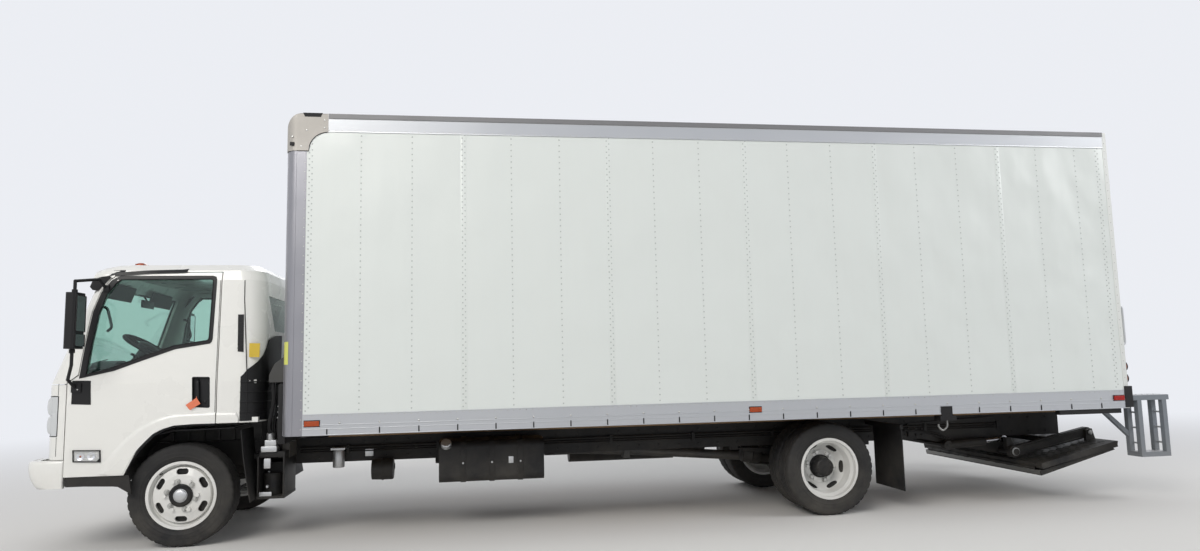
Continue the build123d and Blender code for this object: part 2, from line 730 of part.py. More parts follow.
def side_rails():
    """Bright extrusions along the wall's top and bottom edges."""
    y = body_half_width
    low = [(y - rail_thickness, body_bottom), (y + 2, body_bottom), (y + 2, body_bottom + rail_height),
           (y - 2, body_bottom + rail_height), (y - 2, body_bottom + rail_height - 45.3),
           (y - rail_thickness, body_bottom + rail_height - 45.3)]
    bottom = cross_prism(low, body_rear + 45, panel_front)
    z = body_top
    top = [(y - 2, z - top_rail_height), (y + 2, z - top_rail_height), (y + 8, z - 45), (y + 12, z - 40),
           (y + 12, z), (y - 60, z), (y - 60, z - 8), (y - 2, z - 8)]
    cap = cross_prism(top, body_rear + 45, cap_rear - 0.3)
    return group(both_sides(bottom) + both_sides(cap))


def roof():
    """One sheet over roof bows, with a slight crown."""
    half = body_half_width - 20
    flat = half - 45
    z = body_top - 8.3
    crown = 22
    low = z - roof_thickness
    outline = [(-half, z), (-flat, z), (0, z + crown), (flat, z), (half, z), (half, low), (flat, low),
               (0, low + crown), (-flat, low), (-half, low)]
    pieces = [cross_prism(outline, body_rear + 45, body_front - nose_radius - 0.3)]
    x = panel_front - 200
    while x > body_rear + 300:
        pieces.append(block(x - 25, x + 25, -flat, flat, z - 46, low + 1))
        x -= 2 * 304.8
    return fused(pieces)


def corner_post():
    """Left front corner post: a quarter-round extrusion between the front wall and the side sheet."""
    y, r = body_half_width, post_radius
    outline = Curve() + [
        Line((panel_front + 0.3, y, 0), (body_front - r, y, 0)),
        RadiusArc((body_front - r, y, 0), (body_front, y - r, 0), r),
        Line((body_front, y - r, 0), (body_front - 20, y - r, 0)),
        RadiusArc((body_front - 20, y - r, 0), (body_front - r, y - 20, 0), -(r - 20)),
        Line((body_front - r, y - 20, 0), (panel_front + 0.3, y - 20, 0)),
        Line((panel_front + 0.3, y - 20, 0), (panel_front + 0.3, y, 0))]
    face = make_face(outline)
    return Pos(0, 0, body_bottom) * extrude(face, body_top - nose_radius - 1 - body_bottom, dir=(0, 0, 1))


def front_header():
    """Rounded extrusion across the top of the front wall, between the two caps."""
    x, z, r = body_front - nose_radius, body_top - nose_radius, nose_radius
    q, bend = r - nose_wall, cos(radians(45))
    outline = Curve() + [
        ThreePointArc((body_front, 0, z), (x + r * bend, 0, z + r * bend), (x, 0, body_top)),
        Line((x, 0, body_top), (x, 0, body_top - nose_wall)),
        ThreePointArc((x, 0, body_top - nose_wall), (x + q * bend, 0, z + q * bend), (x + q, 0, z)),
        Line((x + q, 0, z), (body_front, 0, z))]
    reach = body_half_width - cap_width + 5.7
    return Pos(0, -reach, 0) * extrude(make_face(outline), 2 * reach, dir=(0, 1, 0))


cap_width = 160
cap_over = 6
cap_side_radius = 20


def cap_form(inset, y_inner, rear, low):
    """A block with its front edge, its top front edge and its top outer edge rounded, each in one cut."""
    x, y, z = body_front + cap_over - inset, body_half_width + cap_over - inset, body_top + cap_over - inset
    plain = block(rear, x, y_inner, y, low, z)
    corners = ((Axis.Z, (x, y, (low + z) / 2), post_radius), (Axis.Y, (x, (y + y_inner) / 2, z), nose_radius + cap_over),
               (Axis.X, ((rear + x) / 2, y, z), cap_side_radius))
    form = plain
    for axis, middle, radius in corners:
        edge = plain.edges().filter_by(axis).sort_by_distance(middle)[:1]
        form = form & fillet(edge, radius - inset)
    return form


def corner_cap():
    """Cast cap on the left top corner, swept round in all three directions."""
    y = body_half_width + cap_over
    cap = cap_form(0, y - cap_width, cap_rear, cap_low)
    cap -= cap_form(cap_over - 0.3, y - cap_width - 10, cap_rear - 10, cap_low - 10)
    return cap - Pos(cap_rear, y, cap_low + 5) * (Rot(90, 0, 0) * Cylinder(152, 400))


def front_wall():
    y = body_half_width - post_radius - 0.3
    top = body_top - nose_radius - 0.3
    wall = block(body_front - 40, body_front - 2, -y, y, body_bottom, top)
    ribs = [block(body_front - 62, body_front - 39, c - 30, c + 30, body_bottom + 60, top - 20)
            for c in (-800, -400, 0, 400, 800)]
    return fused([wall] + ribs)


rear_post_width = 90
header_height = 190


def rear_frame():
    """Rear portal: two posts, a header and a sill."""
    y, w = body_half_width, rear_post_width
    outer = block(body_rear, body_rear + 44.7, -y, y, body_bottom, body_top)
    hole = block(body_rear - 10, body_rear + 60, -y + w, y - w, floor_top, body_top - header_height)
    return outer - hole


door_slats = 7


def rollup_door():
    """Closed roll-up door: a stack of hinged slats with a handle at the foot."""
    half = body_half_width - rear_post_width - 3
    low, high = floor_top + 0.5, body_top - header_height - 3
    pitch = (high - low) / door_slats
    slats = [block(body_rear + 12, body_rear + 34, -half, half, low + i * pitch, low + (i + 1) * pitch - 6)
             for i in range(door_slats)]
    spine = block(body_rear + 18, body_rear + 34, -half, half, low, high - 6)
    return fused(slats + [spine])


def body_lamps():
    """Side markers on the bottom rail and tail lamps in the rear posts."""
    y = body_half_width
    pieces = []
    for side in (1, -1):
        for x, length in ((-1040, 110), (-4660, 100), (body_rear + 110, 100)):
            pieces.append(block(x - length / 2, x + length / 2, side * (y + 2.3), side * (y + 16), 925, 965))
        for z in (1120, 1230):
            pieces.append(rod((body_rear - 14, side * (y - 45), z), (body_rear - 0.3, side * (y - 45), z), 38))
    return group(pieces)


def rear_steps():
    """Left step frame: a ladder of flat bars behind the corner, braced back to the sill."""
    y0, y1 = body_half_width - 25 - step_width, body_half_width - 25
    x0 = body_rear - 35
    x1 = x0 - step_length
    pieces = [block(x0, x1, y0, y1, 915, 960)]
    for x in (x0 - 90, x1 + 50):
        pieces.append(block(x - 22, x + 22, y0, y0 + 45, 400, 916))
        pieces.append(block(x - 22, x + 22, y1 - 45, y1, 400, 916))
    pieces.append(block(x0 - 68, x1 + 28, y0, y1, 400, 440))
    brace = side_prism([(x0 + 190, body_bottom + 7.7), (x0 - 100, 600), (x0 - 100, 545),
                        (x0 + 235, body_bottom + 7.7)], y0 + 2, y0 + 40)
    pieces.append(brace)
    pieces.append(block(x0 - 1, body_rear - 0.3, y0, y1, 880, 960))
    return fused(pieces)


def dock_bumpers():
    """Left rubber corner on the foot of the rear post, wrapped round to its side."""
    y = body_half_width
    rear = block(body_rear - 34, body_rear - 0.3, y - 24, y + 7, 858, 1050)
    return rear + block(body_rear - 34, body_rear + 44, y + 0.3, y + 7, 858, 1050)


# Liftgate
def gate_point(distance, angle_offset=0, lift=0):
    a = radians(gate_angle + angle_offset)
    return gate_pivot_x - distance * cos(a), gate_pivot_z + distance * sin(a) + lift


hinge_x, hinge_z = gate_point(gate_arm)
cylinder_foot = (gate_pivot_x + 620, gate_pivot_z + 70)
rod_eye = (gate_pivot_x + 20, gate_pivot_z + 110)
arm_y = 640
cylinder_y = 520
rod_pin = 12
eye_slot = 5.2


def gate_mount():
    """Hanger plates under the frame, a cross tube at the arms' pivot and the cylinders' foot."""
    plates = []
    for side in (1, -1):
        plate = side_prism([(-6480, frame_top - 60), (-6480, 590), (gate_pivot_x - 60, gate_pivot_z - 55),
                            (gate_pivot_x - 60, gate_pivot_z + 55), (gate_pivot_x + 60, frame_top - 20)],
                           side * frame_half_width, side * (frame_half_width + 20))
        plates.append(plate)
    tube = rod((gate_pivot_x, -690, gate_pivot_z), (gate_pivot_x, 690, gate_pivot_z), 30)
    foot = rod((cylinder_foot[0], -560, cylinder_foot[1]), (cylinder_foot[0], 560, cylinder_foot[1]), 22)
    y = body_half_width
    hook = side_prism([(-6366, body_bottom + 70), (-6471, body_bottom + 70), (-6471, body_bottom - 10),
                       (-6510, body_bottom - 55), (-6350, body_bottom - 55), (-6366, body_bottom - 10)],
                      y + 2.3, y + 10)
    ledge = block(-6505, -6352, y - 90, y + 10, body_bottom - 55, body_bottom - 12)
    guard = block(body_rear + 90, body_rear + 715, y - 60, y - 2, body_bottom - 42, body_bottom - 0.3)
    return group([fused(plates + [tube, foot]), fused([hook, ledge])] + both_sides(guard))


def lift_arms():
    """Two box-section arms on the cross tube, joined by a tie at the platform hinge."""
    pieces = []
    for side in (1, -1):
        y0, y1 = side * (arm_y - 30), side * (arm_y + 30)
        a, b = (gate_pivot_x, gate_pivot_z), (hinge_x, hinge_z)
        dx, dz = (b[0] - a[0]) / gate_arm, (b[1] - a[1]) / gate_arm
        n = (-dz * 48, dx * 48)
        arm = side_prism([(a[0] + n[0], a[1] + n[1]), (b[0] + n[0], b[1] + n[1]), (b[0] - n[0], b[1] - n[1]),
                          (a[0] - n[0], a[1] - n[1])], y0, y1)
        boss = rod((a[0], y0, a[1]), (a[0], y1, a[1]), 56)
        tip = rod((b[0], y0, b[1]), (b[0], y1, b[1]), 48)
        arm = fused([arm, boss, tip]) - rod((a[0], y0 - 5 * side, a[1]), (a[0], y1 + 5 * side, a[1]), 30 + running_gap)
        arm -= rod((b[0], y0 - 5 * side, b[1]), (b[0], y1 + 5 * side, b[1]), 22 + running_gap)
        horn = side_prism([(a[0] + 45, a[1] + 20), (a[0] - 45, a[1] + 20), (rod_eye[0] - 24, rod_eye[1] + 20),
                           (rod_eye[0] + 24, rod_eye[1] + 20)], side * 560, side * 612)
        horn -= rod((a[0], 500 * side, a[1]), (a[0], 700 * side, a[1]), 30 + running_gap)
        pin = rod((rod_eye[0], side * 492, rod_eye[1]), (rod_eye[0], side * 565, rod_eye[1]), rod_pin)
        pieces += [arm, horn, pin]
    middle = gate_point(gate_arm * 0.55)
    tie = rod((middle[0], -arm_y, middle[1]), (middle[0], arm_y, middle[1]), 28)
    return fused(pieces + [tie])


def platform():
    """Folded platform: two decks with a fold hinge, pointing forward from the arms' tips."""
    a = radians(gate_angle + 1.0)
    ux, uz = cos(a), -sin(a)
    nx, nz = sin(a), cos(a)

    def place(u, n):
        return hinge_x + u * ux + n * nx, hinge_z + u * uz + n * nz

    decks = []
    gap = 10
    low = -78 - 2 * deck_thickness - gap
    main = side_prism([place(-40, -70), place(platform_depth, -70), place(platform_depth, -70 - deck_thickness),
                       place(-20, -70 - deck_thickness)], -platform_half_width, platform_half_width)
    flip = side_prism([place(10, low + deck_thickness + 8), place(platform_depth + 10, low + deck_thickness),
                       place(platform_depth + 10, low), place(0, low + deck_thickness - 10)],
                      -platform_half_width + 20, platform_half_width - 20)
    corner = place(platform_depth - 5, -70 - deck_thickness - 5)
    fold = rod((corner[0], -900, corner[1]), (corner[0], 900, corner[1]), 18)
    decks += [main, flip, fold]
    for side in (1, -1):
        ear = side_prism([place(-42, -72), place(60, -72), place(34, 30), place(-34, 30)],
                         side * (arm_y + 31), side * (arm_y + 60))
        decks.append(ear)
        decks.append(rod((hinge_x, side * (arm_y - 32), hinge_z), (hinge_x, side * (arm_y + 45), hinge_z), 22))
    return fused(decks)


def cylinder_axis():
    dx, dz = rod_eye[0] - cylinder_foot[0], rod_eye[1] - cylinder_foot[1]
    return dx / hypot(dx, dz), dz / hypot(dx, dz)


def lift_barrels():
    ux, uz = cylinder_axis()
    pieces = []
    for side in (1, -1):
        y = side * cylinder_y
        foot = (cylinder_foot[0], y, cylinder_foot[1])
        end = (foot[0] + ux * 400, y, foot[2] + uz * 400)
        barrel = rod(foot, end, 42) + rod((foot[0], y - 36, foot[2]), (foot[0], y + 36, foot[2]), 44)
        barrel -= rod((foot[0], y - 60, foot[2]), (foot[0], y + 60, foot[2]), 22 + running_gap)
        barrel -= rod((foot[0] + ux * 60, y, foot[2] + uz * 60), (foot[0] + ux * 410, y, foot[2] + uz * 410), 24)
        pieces.append(barrel)
    return group(pieces)


def lift_rods():
    ux, uz = cylinder_axis()
    pieces = []
    for side in (1, -1):
        y = side * cylinder_y
        start = (cylinder_foot[0] + ux * 200, y, cylinder_foot[1] + uz * 200)
        end = (rod_eye[0] - ux * 30, y, rod_eye[1] - uz * 30)
        eye = rod((rod_eye[0], y - 24, rod_eye[1]), (rod_eye[0], y + 24, rod_eye[1]), 34)
        bore = rod_pin + 1.2
        low, high = rod_eye[1], rod_eye[1] + eye_slot
        pieces.append(fused([rod(start, end, 23.6), eye]) - rod((rod_eye[0], y - 40, low), (rod_eye[0], y + 40, low), bore)
                      - rod((rod_eye[0], y - 40, high), (rod_eye[0], y + 40, high), bore)
                      - block(rod_eye[0] - bore, rod_eye[0] + bore, y - 40, y + 40, low, high))
    return group(pieces)


outer, inner = cab_forms()
left_tyre = tyre(0, front_wheel_y)
rear_outer_y = rear_track / 2 + dual_spacing / 2
left_twins = group([tyre(-wheelbase, rear_outer_y), tyre(-wheelbase, rear_outer_y - dual_spacing)])
left_door = door(outer)

nodes = {
    "frame": frame(),
    "front_bumper": bumper(),
    "front_axle": front_axle(),
    "leaf_springs": group(both_sides(leaf_spring(0, 385.3, 470, 530, 600, 3))
                          + both_sides(leaf_spring(-wheelbase, tyre_radius + 66.3, 526, 545, 680, 4))),
    "rear_axle": rear_axle(),
    "engine_block": engine(),
    "driveline": driveline(),
    "fuel_tank": fuel_tank(),
    "battery_box": battery_box(),
    "exhaust": exhaust(),
    "air_duct": air_duct(),
    "mudguards": mudguards(),
    "side_equipment": equipment(),
    "knuckle_left": knuckle(),
    "knuckle_right": mirrored(knuckle()),
    "tie_rod": tie_rod(),
    "front_left_tyre": left_tyre,
    "front_left_rim": front_rim(front_wheel_y),
    "front_right_tyre": mirrored(left_tyre),
    "front_right_rim": mirrored(front_rim(front_wheel_y)),
    "rear_left_tyres": left_twins,
    "rear_left_rims": rear_rims(rear_outer_y),
    "rear_right_tyres": mirrored(left_twins),
    "rear_right_rims": mirrored(rear_rims(rear_outer_y)),
    "cab_shell": cab_shell(outer, inner),
    "cab_front_panel": front_panel(outer, inner),
    "cab_lamps": cab_lamps(),
    "cab_glass": cab_glass(),
    "dashboard": dashboard(),
    "seats": seats(),
    "arch_liners": group(both_sides(arch_liners())),
    "left_door": left_door,
    "right_door": mirrored(left_door),
    "left_door_glass": door_glass(),
    "right_door_glass": mirrored(door_glass()),
    "left_mirror": mirror_arms(),
    "right_mirror": mirrored(mirror_arms()),
    "body_floor": body_floor(),
    "left_wall": body_side(),
    "right_wall": mirrored(body_side()),
    "front_wall": front_wall(),
    "corner_posts": group(both_sides(corner_post()) + [front_header()]),
    "corner_caps": group(both_sides(corner_cap())),
    "body_roof": roof(),
    "side_rails": side_rails(),
    "rear_frame": rear_frame(),
    "rollup_door": rollup_door(),
    "body_lamps": body_lamps(),
    "rear_steps": group(both_sides(rear_steps())),
    "dock_bumpers": group(both_sides(dock_bumpers())),
    "gate_mount": gate_mount(),
    "lift_arms": lift_arms(),
    "lift_barrels": lift_barrels(),
    "lift_rods": lift_rods(),
    "platform": platform(),
}

for name, shape in nodes.items():
    export(name, shape)
print(len(nodes), "nodes, origin at x", centre_x)
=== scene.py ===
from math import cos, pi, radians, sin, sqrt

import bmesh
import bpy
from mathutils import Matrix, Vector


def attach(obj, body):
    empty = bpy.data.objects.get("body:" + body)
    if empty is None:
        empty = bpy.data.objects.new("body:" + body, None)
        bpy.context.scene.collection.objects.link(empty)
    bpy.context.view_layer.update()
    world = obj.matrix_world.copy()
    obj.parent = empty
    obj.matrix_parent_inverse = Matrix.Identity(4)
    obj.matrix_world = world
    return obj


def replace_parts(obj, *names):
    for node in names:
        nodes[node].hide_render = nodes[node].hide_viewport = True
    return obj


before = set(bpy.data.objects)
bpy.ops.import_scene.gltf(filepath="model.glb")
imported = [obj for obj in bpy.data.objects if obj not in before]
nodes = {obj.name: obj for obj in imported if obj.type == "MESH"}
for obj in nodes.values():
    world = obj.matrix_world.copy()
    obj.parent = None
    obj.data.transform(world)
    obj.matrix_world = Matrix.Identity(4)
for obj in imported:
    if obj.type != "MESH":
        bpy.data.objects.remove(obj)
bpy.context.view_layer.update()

# %% [markdown]
# A box truck stands on a pale studio floor. Its solid parts come ready from CAD, so this lesson
# gives them paint, rubber, glass and metal, and adds the small things that a CAD model leaves
# out: rivets, tread, lamps, seals, handles, hoses.

AXLE = 3.784
print("front axle stands at x", AXLE, "m; every length below counts from it")

# %% [markdown]
# The camera stands where the photographer stood: about eight metres from the left side, at eye
# height, turned a little towards the cab. It could be aimed by eye, but the rivet columns are
# 16 inches apart on such a body, so the place was solved from them and is simply written down.


# %% Camera
def place_camera(place, yaw, pitch, roll, pixels_per_tan, image_width, shift):
    ahead = Vector((-sin(yaw) * cos(pitch), -cos(yaw) * cos(pitch), sin(pitch)))
    right = ahead.cross(Vector((0, 0, 1))).normalized()
    up = right.cross(ahead)
    turned_right = cos(roll) * right + sin(roll) * up
    turned_up = cos(roll) * up - sin(roll) * right
    lens = bpy.data.cameras.new("photo_camera")
    lens.sensor_width = 36
    lens.lens = 36 * pixels_per_tan / image_width
    lens.shift_y = shift
    camera = bpy.data.objects.new("photo_camera", lens)
    axes = Matrix((turned_right, turned_up, -ahead)).transposed().to_4x4()
    camera.matrix_world = Matrix.Translation(place) @ axes
    bpy.context.collection.objects.link(camera)
    bpy.context.scene.camera = camera
    return camera


photo_camera = place_camera(place=(AXLE - 2.3222, 7.829, 1.3592), yaw=0.1538, pitch=0.1067, roll=-0.0224,
                            pixels_per_tan=799.5, image_width=1200, shift=0.0024)
bpy.context.scene.view_settings.view_transform = "Standard"
print("lens", round(photo_camera.data.lens, 2), "mm")

# %% [markdown]
# World, floor and finishes are all node trees. Each node could be added and wired in three or four
# lines of its own, so a few helpers come first: one makes any node and links or sets its inputs,
# and the others wrap the kinds that are used again and again.


# %% Node helpers
def node(tree, kind, settings=None, inputs=None):
    made = tree.nodes.new("ShaderNode" + kind)
    for key, value in (settings or {}).items():
        setattr(made, key, value)
    for key, value in (inputs or {}).items():
        if hasattr(value, "is_output"):
            tree.links.new(value, made.inputs[key])
        else:
            made.inputs[key].default_value = value
    return made


def combine(tree, operation, first, second, clamp=False):
    settings = {"operation": operation, "use_clamp": clamp}
    return node(tree, "Math", settings, {0: first, 1: second}).outputs[0]


def ramp(tree, value, start, end, low=0.0, high=1.0, kind="LINEAR"):
    limits = {"Value": value, "From Min": start, "From Max": end, "To Min": low, "To Max": high}
    return node(tree, "MapRange", {"interpolation_type": kind}, limits).outputs[0]


def shaded(name, values):
    """A new material, with plain values on its shader's sockets."""
    material = bpy.data.materials.new(name)
    material.use_nodes = True
    tree = material.node_tree
    shader = tree.nodes["Principled BSDF"]
    for key, value in values.items():
        shader.inputs[key].default_value = value
    return material, tree, shader


print("helpers ready in Blender", bpy.app.version_string)

# %% [markdown]
# Soft light keeps a white truck readable. One large warm panel from the front left gives the
# bright side, two weaker ones fill the far side and the tail, and the world lifts the shadows.
# The floor is plain and pale. What looks at the world directly sees white, while the truck
# itself is lit by a dimmer world, so white paint isn't washed out.


# %% Floor, world and lights
def soft_panel(name, place, aim, size, power, tint=(1, 1, 1)):
    light = bpy.data.lights.new(name, "AREA")
    light.shape = "RECTANGLE"
    light.size, light.size_y = size
    light.energy = power
    light.color = tint
    lamp = bpy.data.objects.new(name, light)
    lamp.location = place
    lamp.rotation_euler = (Vector(aim) - Vector(place)).to_track_quat("-Z", "Y").to_euler()
    bpy.context.collection.objects.link(lamp)


def seen_directly(tree):
    """1 for a ray from the camera, from a mirror or through glass, 0 for light on the truck."""
    rays = node(tree, "LightPath").outputs
    last = rays["Is Camera Ray"]
    for name in ("Is Glossy Ray", "Is Transmission Ray"):
        last = combine(tree, "MAXIMUM", last, rays[name])
    return last


backdrop_color, backdrop_strength, light_strength = (0.93, 0.95, 1, 1), 0.9, 0.42


def studio_world():
    world = bpy.data.worlds.new("studio")
    bpy.context.scene.world = world
    world.use_nodes = True
    tree = world.node_tree
    background = tree.nodes["Background"]
    background.inputs["Color"].default_value = backdrop_color
    strength = ramp(tree, seen_directly(tree), 0, 1, light_strength, backdrop_strength)
    tree.links.new(strength, background.inputs["Strength"])


def studio_floor(half, fade_start, fade_end):
    floor_mesh = bpy.data.meshes.new("floor")
    corners = [(-half, -half, 0), (half, -half, 0), (half, half, 0), (-half, half, 0)]
    floor_mesh.from_pydata(corners, [], [(0, 1, 2, 3)])
    floor = bpy.data.objects.new("floor", floor_mesh)
    bpy.context.collection.objects.link(floor)
    paint, tree, shader = shaded("pale_floor", {"Base Color": (0.78, 0.77, 0.75, 1), "Roughness": 0.85})
    distance = node(tree, "VectorMath", {"operation": "LENGTH"},
                    {0: node(tree, "TexCoord").outputs["Object"]})
    fade = ramp(tree, distance.outputs["Value"], fade_start, fade_end, kind="SMOOTHSTEP")
    share = combine(tree, "MULTIPLY", fade, seen_directly(tree))
    backdrop = node(tree, "Emission", inputs={"Color": backdrop_color, "Strength": backdrop_strength})
    blend = node(tree, "MixShader", inputs={0: share, 1: shader.outputs[0], 2: backdrop.outputs[0]})
    tree.links.new(blend.outputs[0], tree.nodes["Material Output"].inputs["Surface"])
    floor_mesh.materials.append(paint)
    print("floor", 2 * half, "m wide")


studio_world()
soft_panel("key_panel", (7.5, 11, 9), (0, 0, 1.4), (9, 5), 1000, (1, 0.97, 0.92))
soft_panel("tail_panel", (-11, 5, 7), (-2, 0, 1.2), (6, 5), 420)
soft_panel("far_panel", (3, -11, 8), (0, 0, 1.2), (9, 5), 420)
studio_floor(60, 4.5, 17)

# %% [markdown]
# Several finishes share an effect: road dust that fades with height, a fine moulded grain, brush
# lines in bare metal, the slow waves of a thin sheet, and rain streaks. Each could be wired into
# every material again, but a node group with named sockets is built once and then set differently
# in each material. The groups put out only colours and heights; the shader stays in the material.


# %% Shared effects
def effect(name, inputs, outputs):
    tree = bpy.data.node_groups.new(name, "ShaderNodeTree")
    kinds = {float: "NodeSocketFloat", tuple: "NodeSocketColor"}
    for label, value in inputs.items():
        socket = tree.interface.new_socket(label, in_out="INPUT", socket_type=kinds[type(value)])
        socket.default_value = value
    for label, kind in outputs.items():
        tree.interface.new_socket(label, in_out="OUTPUT", socket_type=kinds[kind])
    place = node(tree, "TexCoord").outputs["Object"]
    return tree, place, tree.nodes.new("NodeGroupInput").outputs, tree.nodes.new("NodeGroupOutput").inputs


def noise(tree, place, scale, detail, rough=0.5):
    inputs = {"Vector": place, "Scale": scale, "Detail": detail, "Roughness": rough}
    return node(tree, "TexNoise", inputs=inputs).outputs["Fac"]


def stretched(tree, place, scale):
    return node(tree, "Mapping", inputs={"Vector": place, "Scale": scale}).outputs[0]


def tinted(tree, mask, clean, stain):
    return node(tree, "Mix", {"data_type": "RGBA"}, {0: mask, 6: clean, 7: stain}).outputs[2]


def make_road_dust():
    tree, place, given, out = effect("road_dust", {
        "Clean Color": (1.0, 1.0, 1.0, 1.0), "Dust Color": (0.3, 0.27, 0.22, 1.0), "Amount": 0.5,
        "Reach": 1.0, "Scale": 3.0}, {"Color": tuple, "Mask": float})
    height = node(tree, "SeparateXYZ", inputs={0: place}).outputs["Z"]
    low = ramp(tree, height, given["Reach"], 0.0, kind="SMOOTHSTEP")
    spread = ramp(tree, noise(tree, place, given["Scale"], 6.0, 0.62), 0.35, 0.68)
    share = combine(tree, "MULTIPLY", low, spread)
    mask = combine(tree, "MULTIPLY", share, given["Amount"], clamp=True)
    tree.links.new(tinted(tree, mask, given["Clean Color"], given["Dust Color"]), out["Color"])
    tree.links.new(mask, out["Mask"])
    return tree


def uneven_roughness(tree, place, scale, detail, given, out):
    """Lets a roughness wander round its given value in broad patches."""
    centred = combine(tree, "SUBTRACT", noise(tree, place, scale, detail), 0.5)
    wander = combine(tree, "MULTIPLY", centred, given["Spread"])
    tree.links.new(combine(tree, "ADD", wander, given["Roughness"]), out["Roughness"])


def make_grain():
    tree, place, given, out = effect("moulded_grain", {"Scale": 400.0, "Spread": 0.5, "Roughness": 0.6},
                                     {"Height": float, "Roughness": float})
    tree.links.new(noise(tree, place, given["Scale"], 2.0), out["Height"])
    uneven_roughness(tree, place, 2.3, 5.0, given, out)
    return tree


def make_brush():
    tree, place, given, out = effect("brush_lines", {"Density": 160.0, "Roughness": 0.3, "Spread": 0.25},
                                     {"Height": float, "Roughness": float})
    lines = noise(tree, stretched(tree, place, (0.015, 1.0, 1.0)), given["Density"], 3.0)
    tree.links.new(lines, out["Height"])
    uneven_roughness(tree, place, 1.7, 4.0, given, out)
    return tree


def make_panel_waves():
    tree, place, given, out = effect("sheet_waves", {"Scale": 1.6, "Rearward": 1.0}, {"Height": float})
    dents = noise(tree, stretched(tree, place, (1.5, 1.0, 1.0)), given["Scale"], 1.6, 0.4)
    along = node(tree, "SeparateXYZ", inputs={0: place}).outputs["X"]
    gain = combine(tree, "MULTIPLY", ramp(tree, along, 2.8, -4.4, 0.25, 1.0), given["Rearward"])
    tree.links.new(combine(tree, "MULTIPLY", dents, gain), out["Height"])
    return tree


def make_streaks():
    tree, place, given, out = effect("rain_streaks", {
        "Color": (0.8, 0.8, 0.8, 1.0), "Stain": (0.45, 0.44, 0.4, 1.0), "Amount": 0.15}, {"Color": tuple})
    runs = noise(tree, stretched(tree, place, (9.0, 9.0, 0.5)), 2.0, 5.0)
    mask = combine(tree, "MULTIPLY", ramp(tree, runs, 0.5, 0.75), given["Amount"])
    tree.links.new(tinted(tree, mask, given["Color"], given["Stain"]), out["Color"])
    return tree


road_dust, moulded_grain, brush_lines = make_road_dust(), make_grain(), make_brush()
sheet_waves, rain_streaks = make_panel_waves(), make_streaks()
print("effects", [g.name for g in bpy.data.node_groups])

# %% [markdown]
# A material starts from one maker that takes the plain values and says which effects it wears:
# dust in its colour, grain or brush lines in its bump and roughness. Constants sit on the
# shader's own sockets. Making each by hand would give the same look, with ten times the lines.


# %% The material maker
def finish(name, color, rough, metal=0.0, coat=0.0, dust=0.0, reach=1.0, grain=None, brush=None, bump=0.0,
           waves=0.0, streaks=0.0, gloss=0.5):
    base = (*color, 1.0)
    material, tree, shader = shaded(name, {
        "Base Color": base, "Roughness": rough, "Metallic": metal, "Coat Weight": coat,
        "Coat Roughness": 0.06, "Specular IOR Level": gloss})

    def worn_by(effect_tree, inputs):
        return node(tree, "Group", {"node_tree": effect_tree}, inputs).outputs

    worn = None
    if streaks:
        worn = worn_by(rain_streaks, {"Color": base, "Amount": streaks})[0]
    if dust:
        worn = worn_by(road_dust, {"Clean Color": worn or base, "Amount": dust, "Reach": reach,
                                   "Dust Color": (0.32, 0.29, 0.24, 1.0)})["Color"]
    if worn:
        tree.links.new(worn, shader.inputs["Base Color"])
    height = None
    for group, key, amount in ((moulded_grain, "Scale", grain), (brush_lines, "Density", brush)):
        if amount:
            given = worn_by(group, {key: amount, "Roughness": rough})
            tree.links.new(given["Roughness"], shader.inputs["Roughness"])
            height = given["Height"]
    if waves:
        height = worn_by(sheet_waves, {})["Height"]
    if height:
        bumped = node(tree, "Bump", inputs={"Strength": waves or bump, "Distance": 0.09 if waves else 0.001,
                                            "Height": height})
        tree.links.new(bumped.outputs["Normal"], shader.inputs["Normal"])
    return material


def clear(name, color, transmission=1.0, rough=0.03):
    return shaded(name, {"Base Color": (*color, 1.0), "Roughness": rough, "IOR": 1.45,
                         "Transmission Weight": transmission})[0]


print("material makers ready")

# %% [markdown]
# Each finish is one line: a base colour, a roughness, and how much grain, wear or dust it shows. The
# dust thins out with height, so a finish also says how far up it reaches.

# %% Finishes of the truck
paint_cab = finish("cab_paint", (0.82, 0.82, 0.79), 0.28, coat=0.6, dust=0.25, reach=1.1, grain=900,
                   bump=0.02)
paint_panel = finish("panel_white", (0.73, 0.77, 0.75), 0.34, coat=0.25, waves=0.75, streaks=0.015)
# The rivets are painted white like the sheet; this grey is painted shade for the shadows round their heads.
rivet_shade_paint = finish("rivet_painted_shade", (0.47, 0.50, 0.49), 0.4, grain=300, bump=0.05)
paint_frame_white = finish("portal_white", (0.72, 0.74, 0.72), 0.4, dust=0.4, reach=1.6, grain=300, bump=0.05)
# Black paint on the chassis, taken darker than such paint is: partly painted shade for the shadow under the
# body.
underbody_black_and_shade = finish("underbody_black_painted_shade", (0.013, 0.013, 0.014), 0.5, dust=0.22, reach=1.0, grain=220,
                       bump=0.2, gloss=0.25)
paint_wheel = finish("wheel_white", (0.78, 0.78, 0.76), 0.35, coat=0.3, dust=0.35, reach=1.2, grain=300,
                     bump=0.04)
paint_step = finish("step_grey", (0.19, 0.21, 0.235), 0.5, dust=0.3, reach=1.0, grain=260, bump=0.2)
rubber_tyre = finish("tyre_rubber", (0.017, 0.017, 0.018), 0.72, dust=0.16, reach=1.1, grain=500, bump=0.25,
                     gloss=0.3)
rubber_black = finish("black_rubber", (0.016, 0.016, 0.017), 0.7, dust=0.2, reach=0.9, grain=420, bump=0.2,
                      gloss=0.3)
plastic_black = finish("black_plastic", (0.012, 0.012, 0.013), 0.42, grain=700, bump=0.12, dust=0.25,
                       reach=0.9, gloss=0.25)
plastic_dash = finish("dash_plastic", (0.11, 0.11, 0.115), 0.6, grain=600, bump=0.3)
plastic_duct = finish("duct_plastic", (0.045, 0.045, 0.044), 0.6, grain=350, bump=0.3, dust=0.25, reach=1.8)
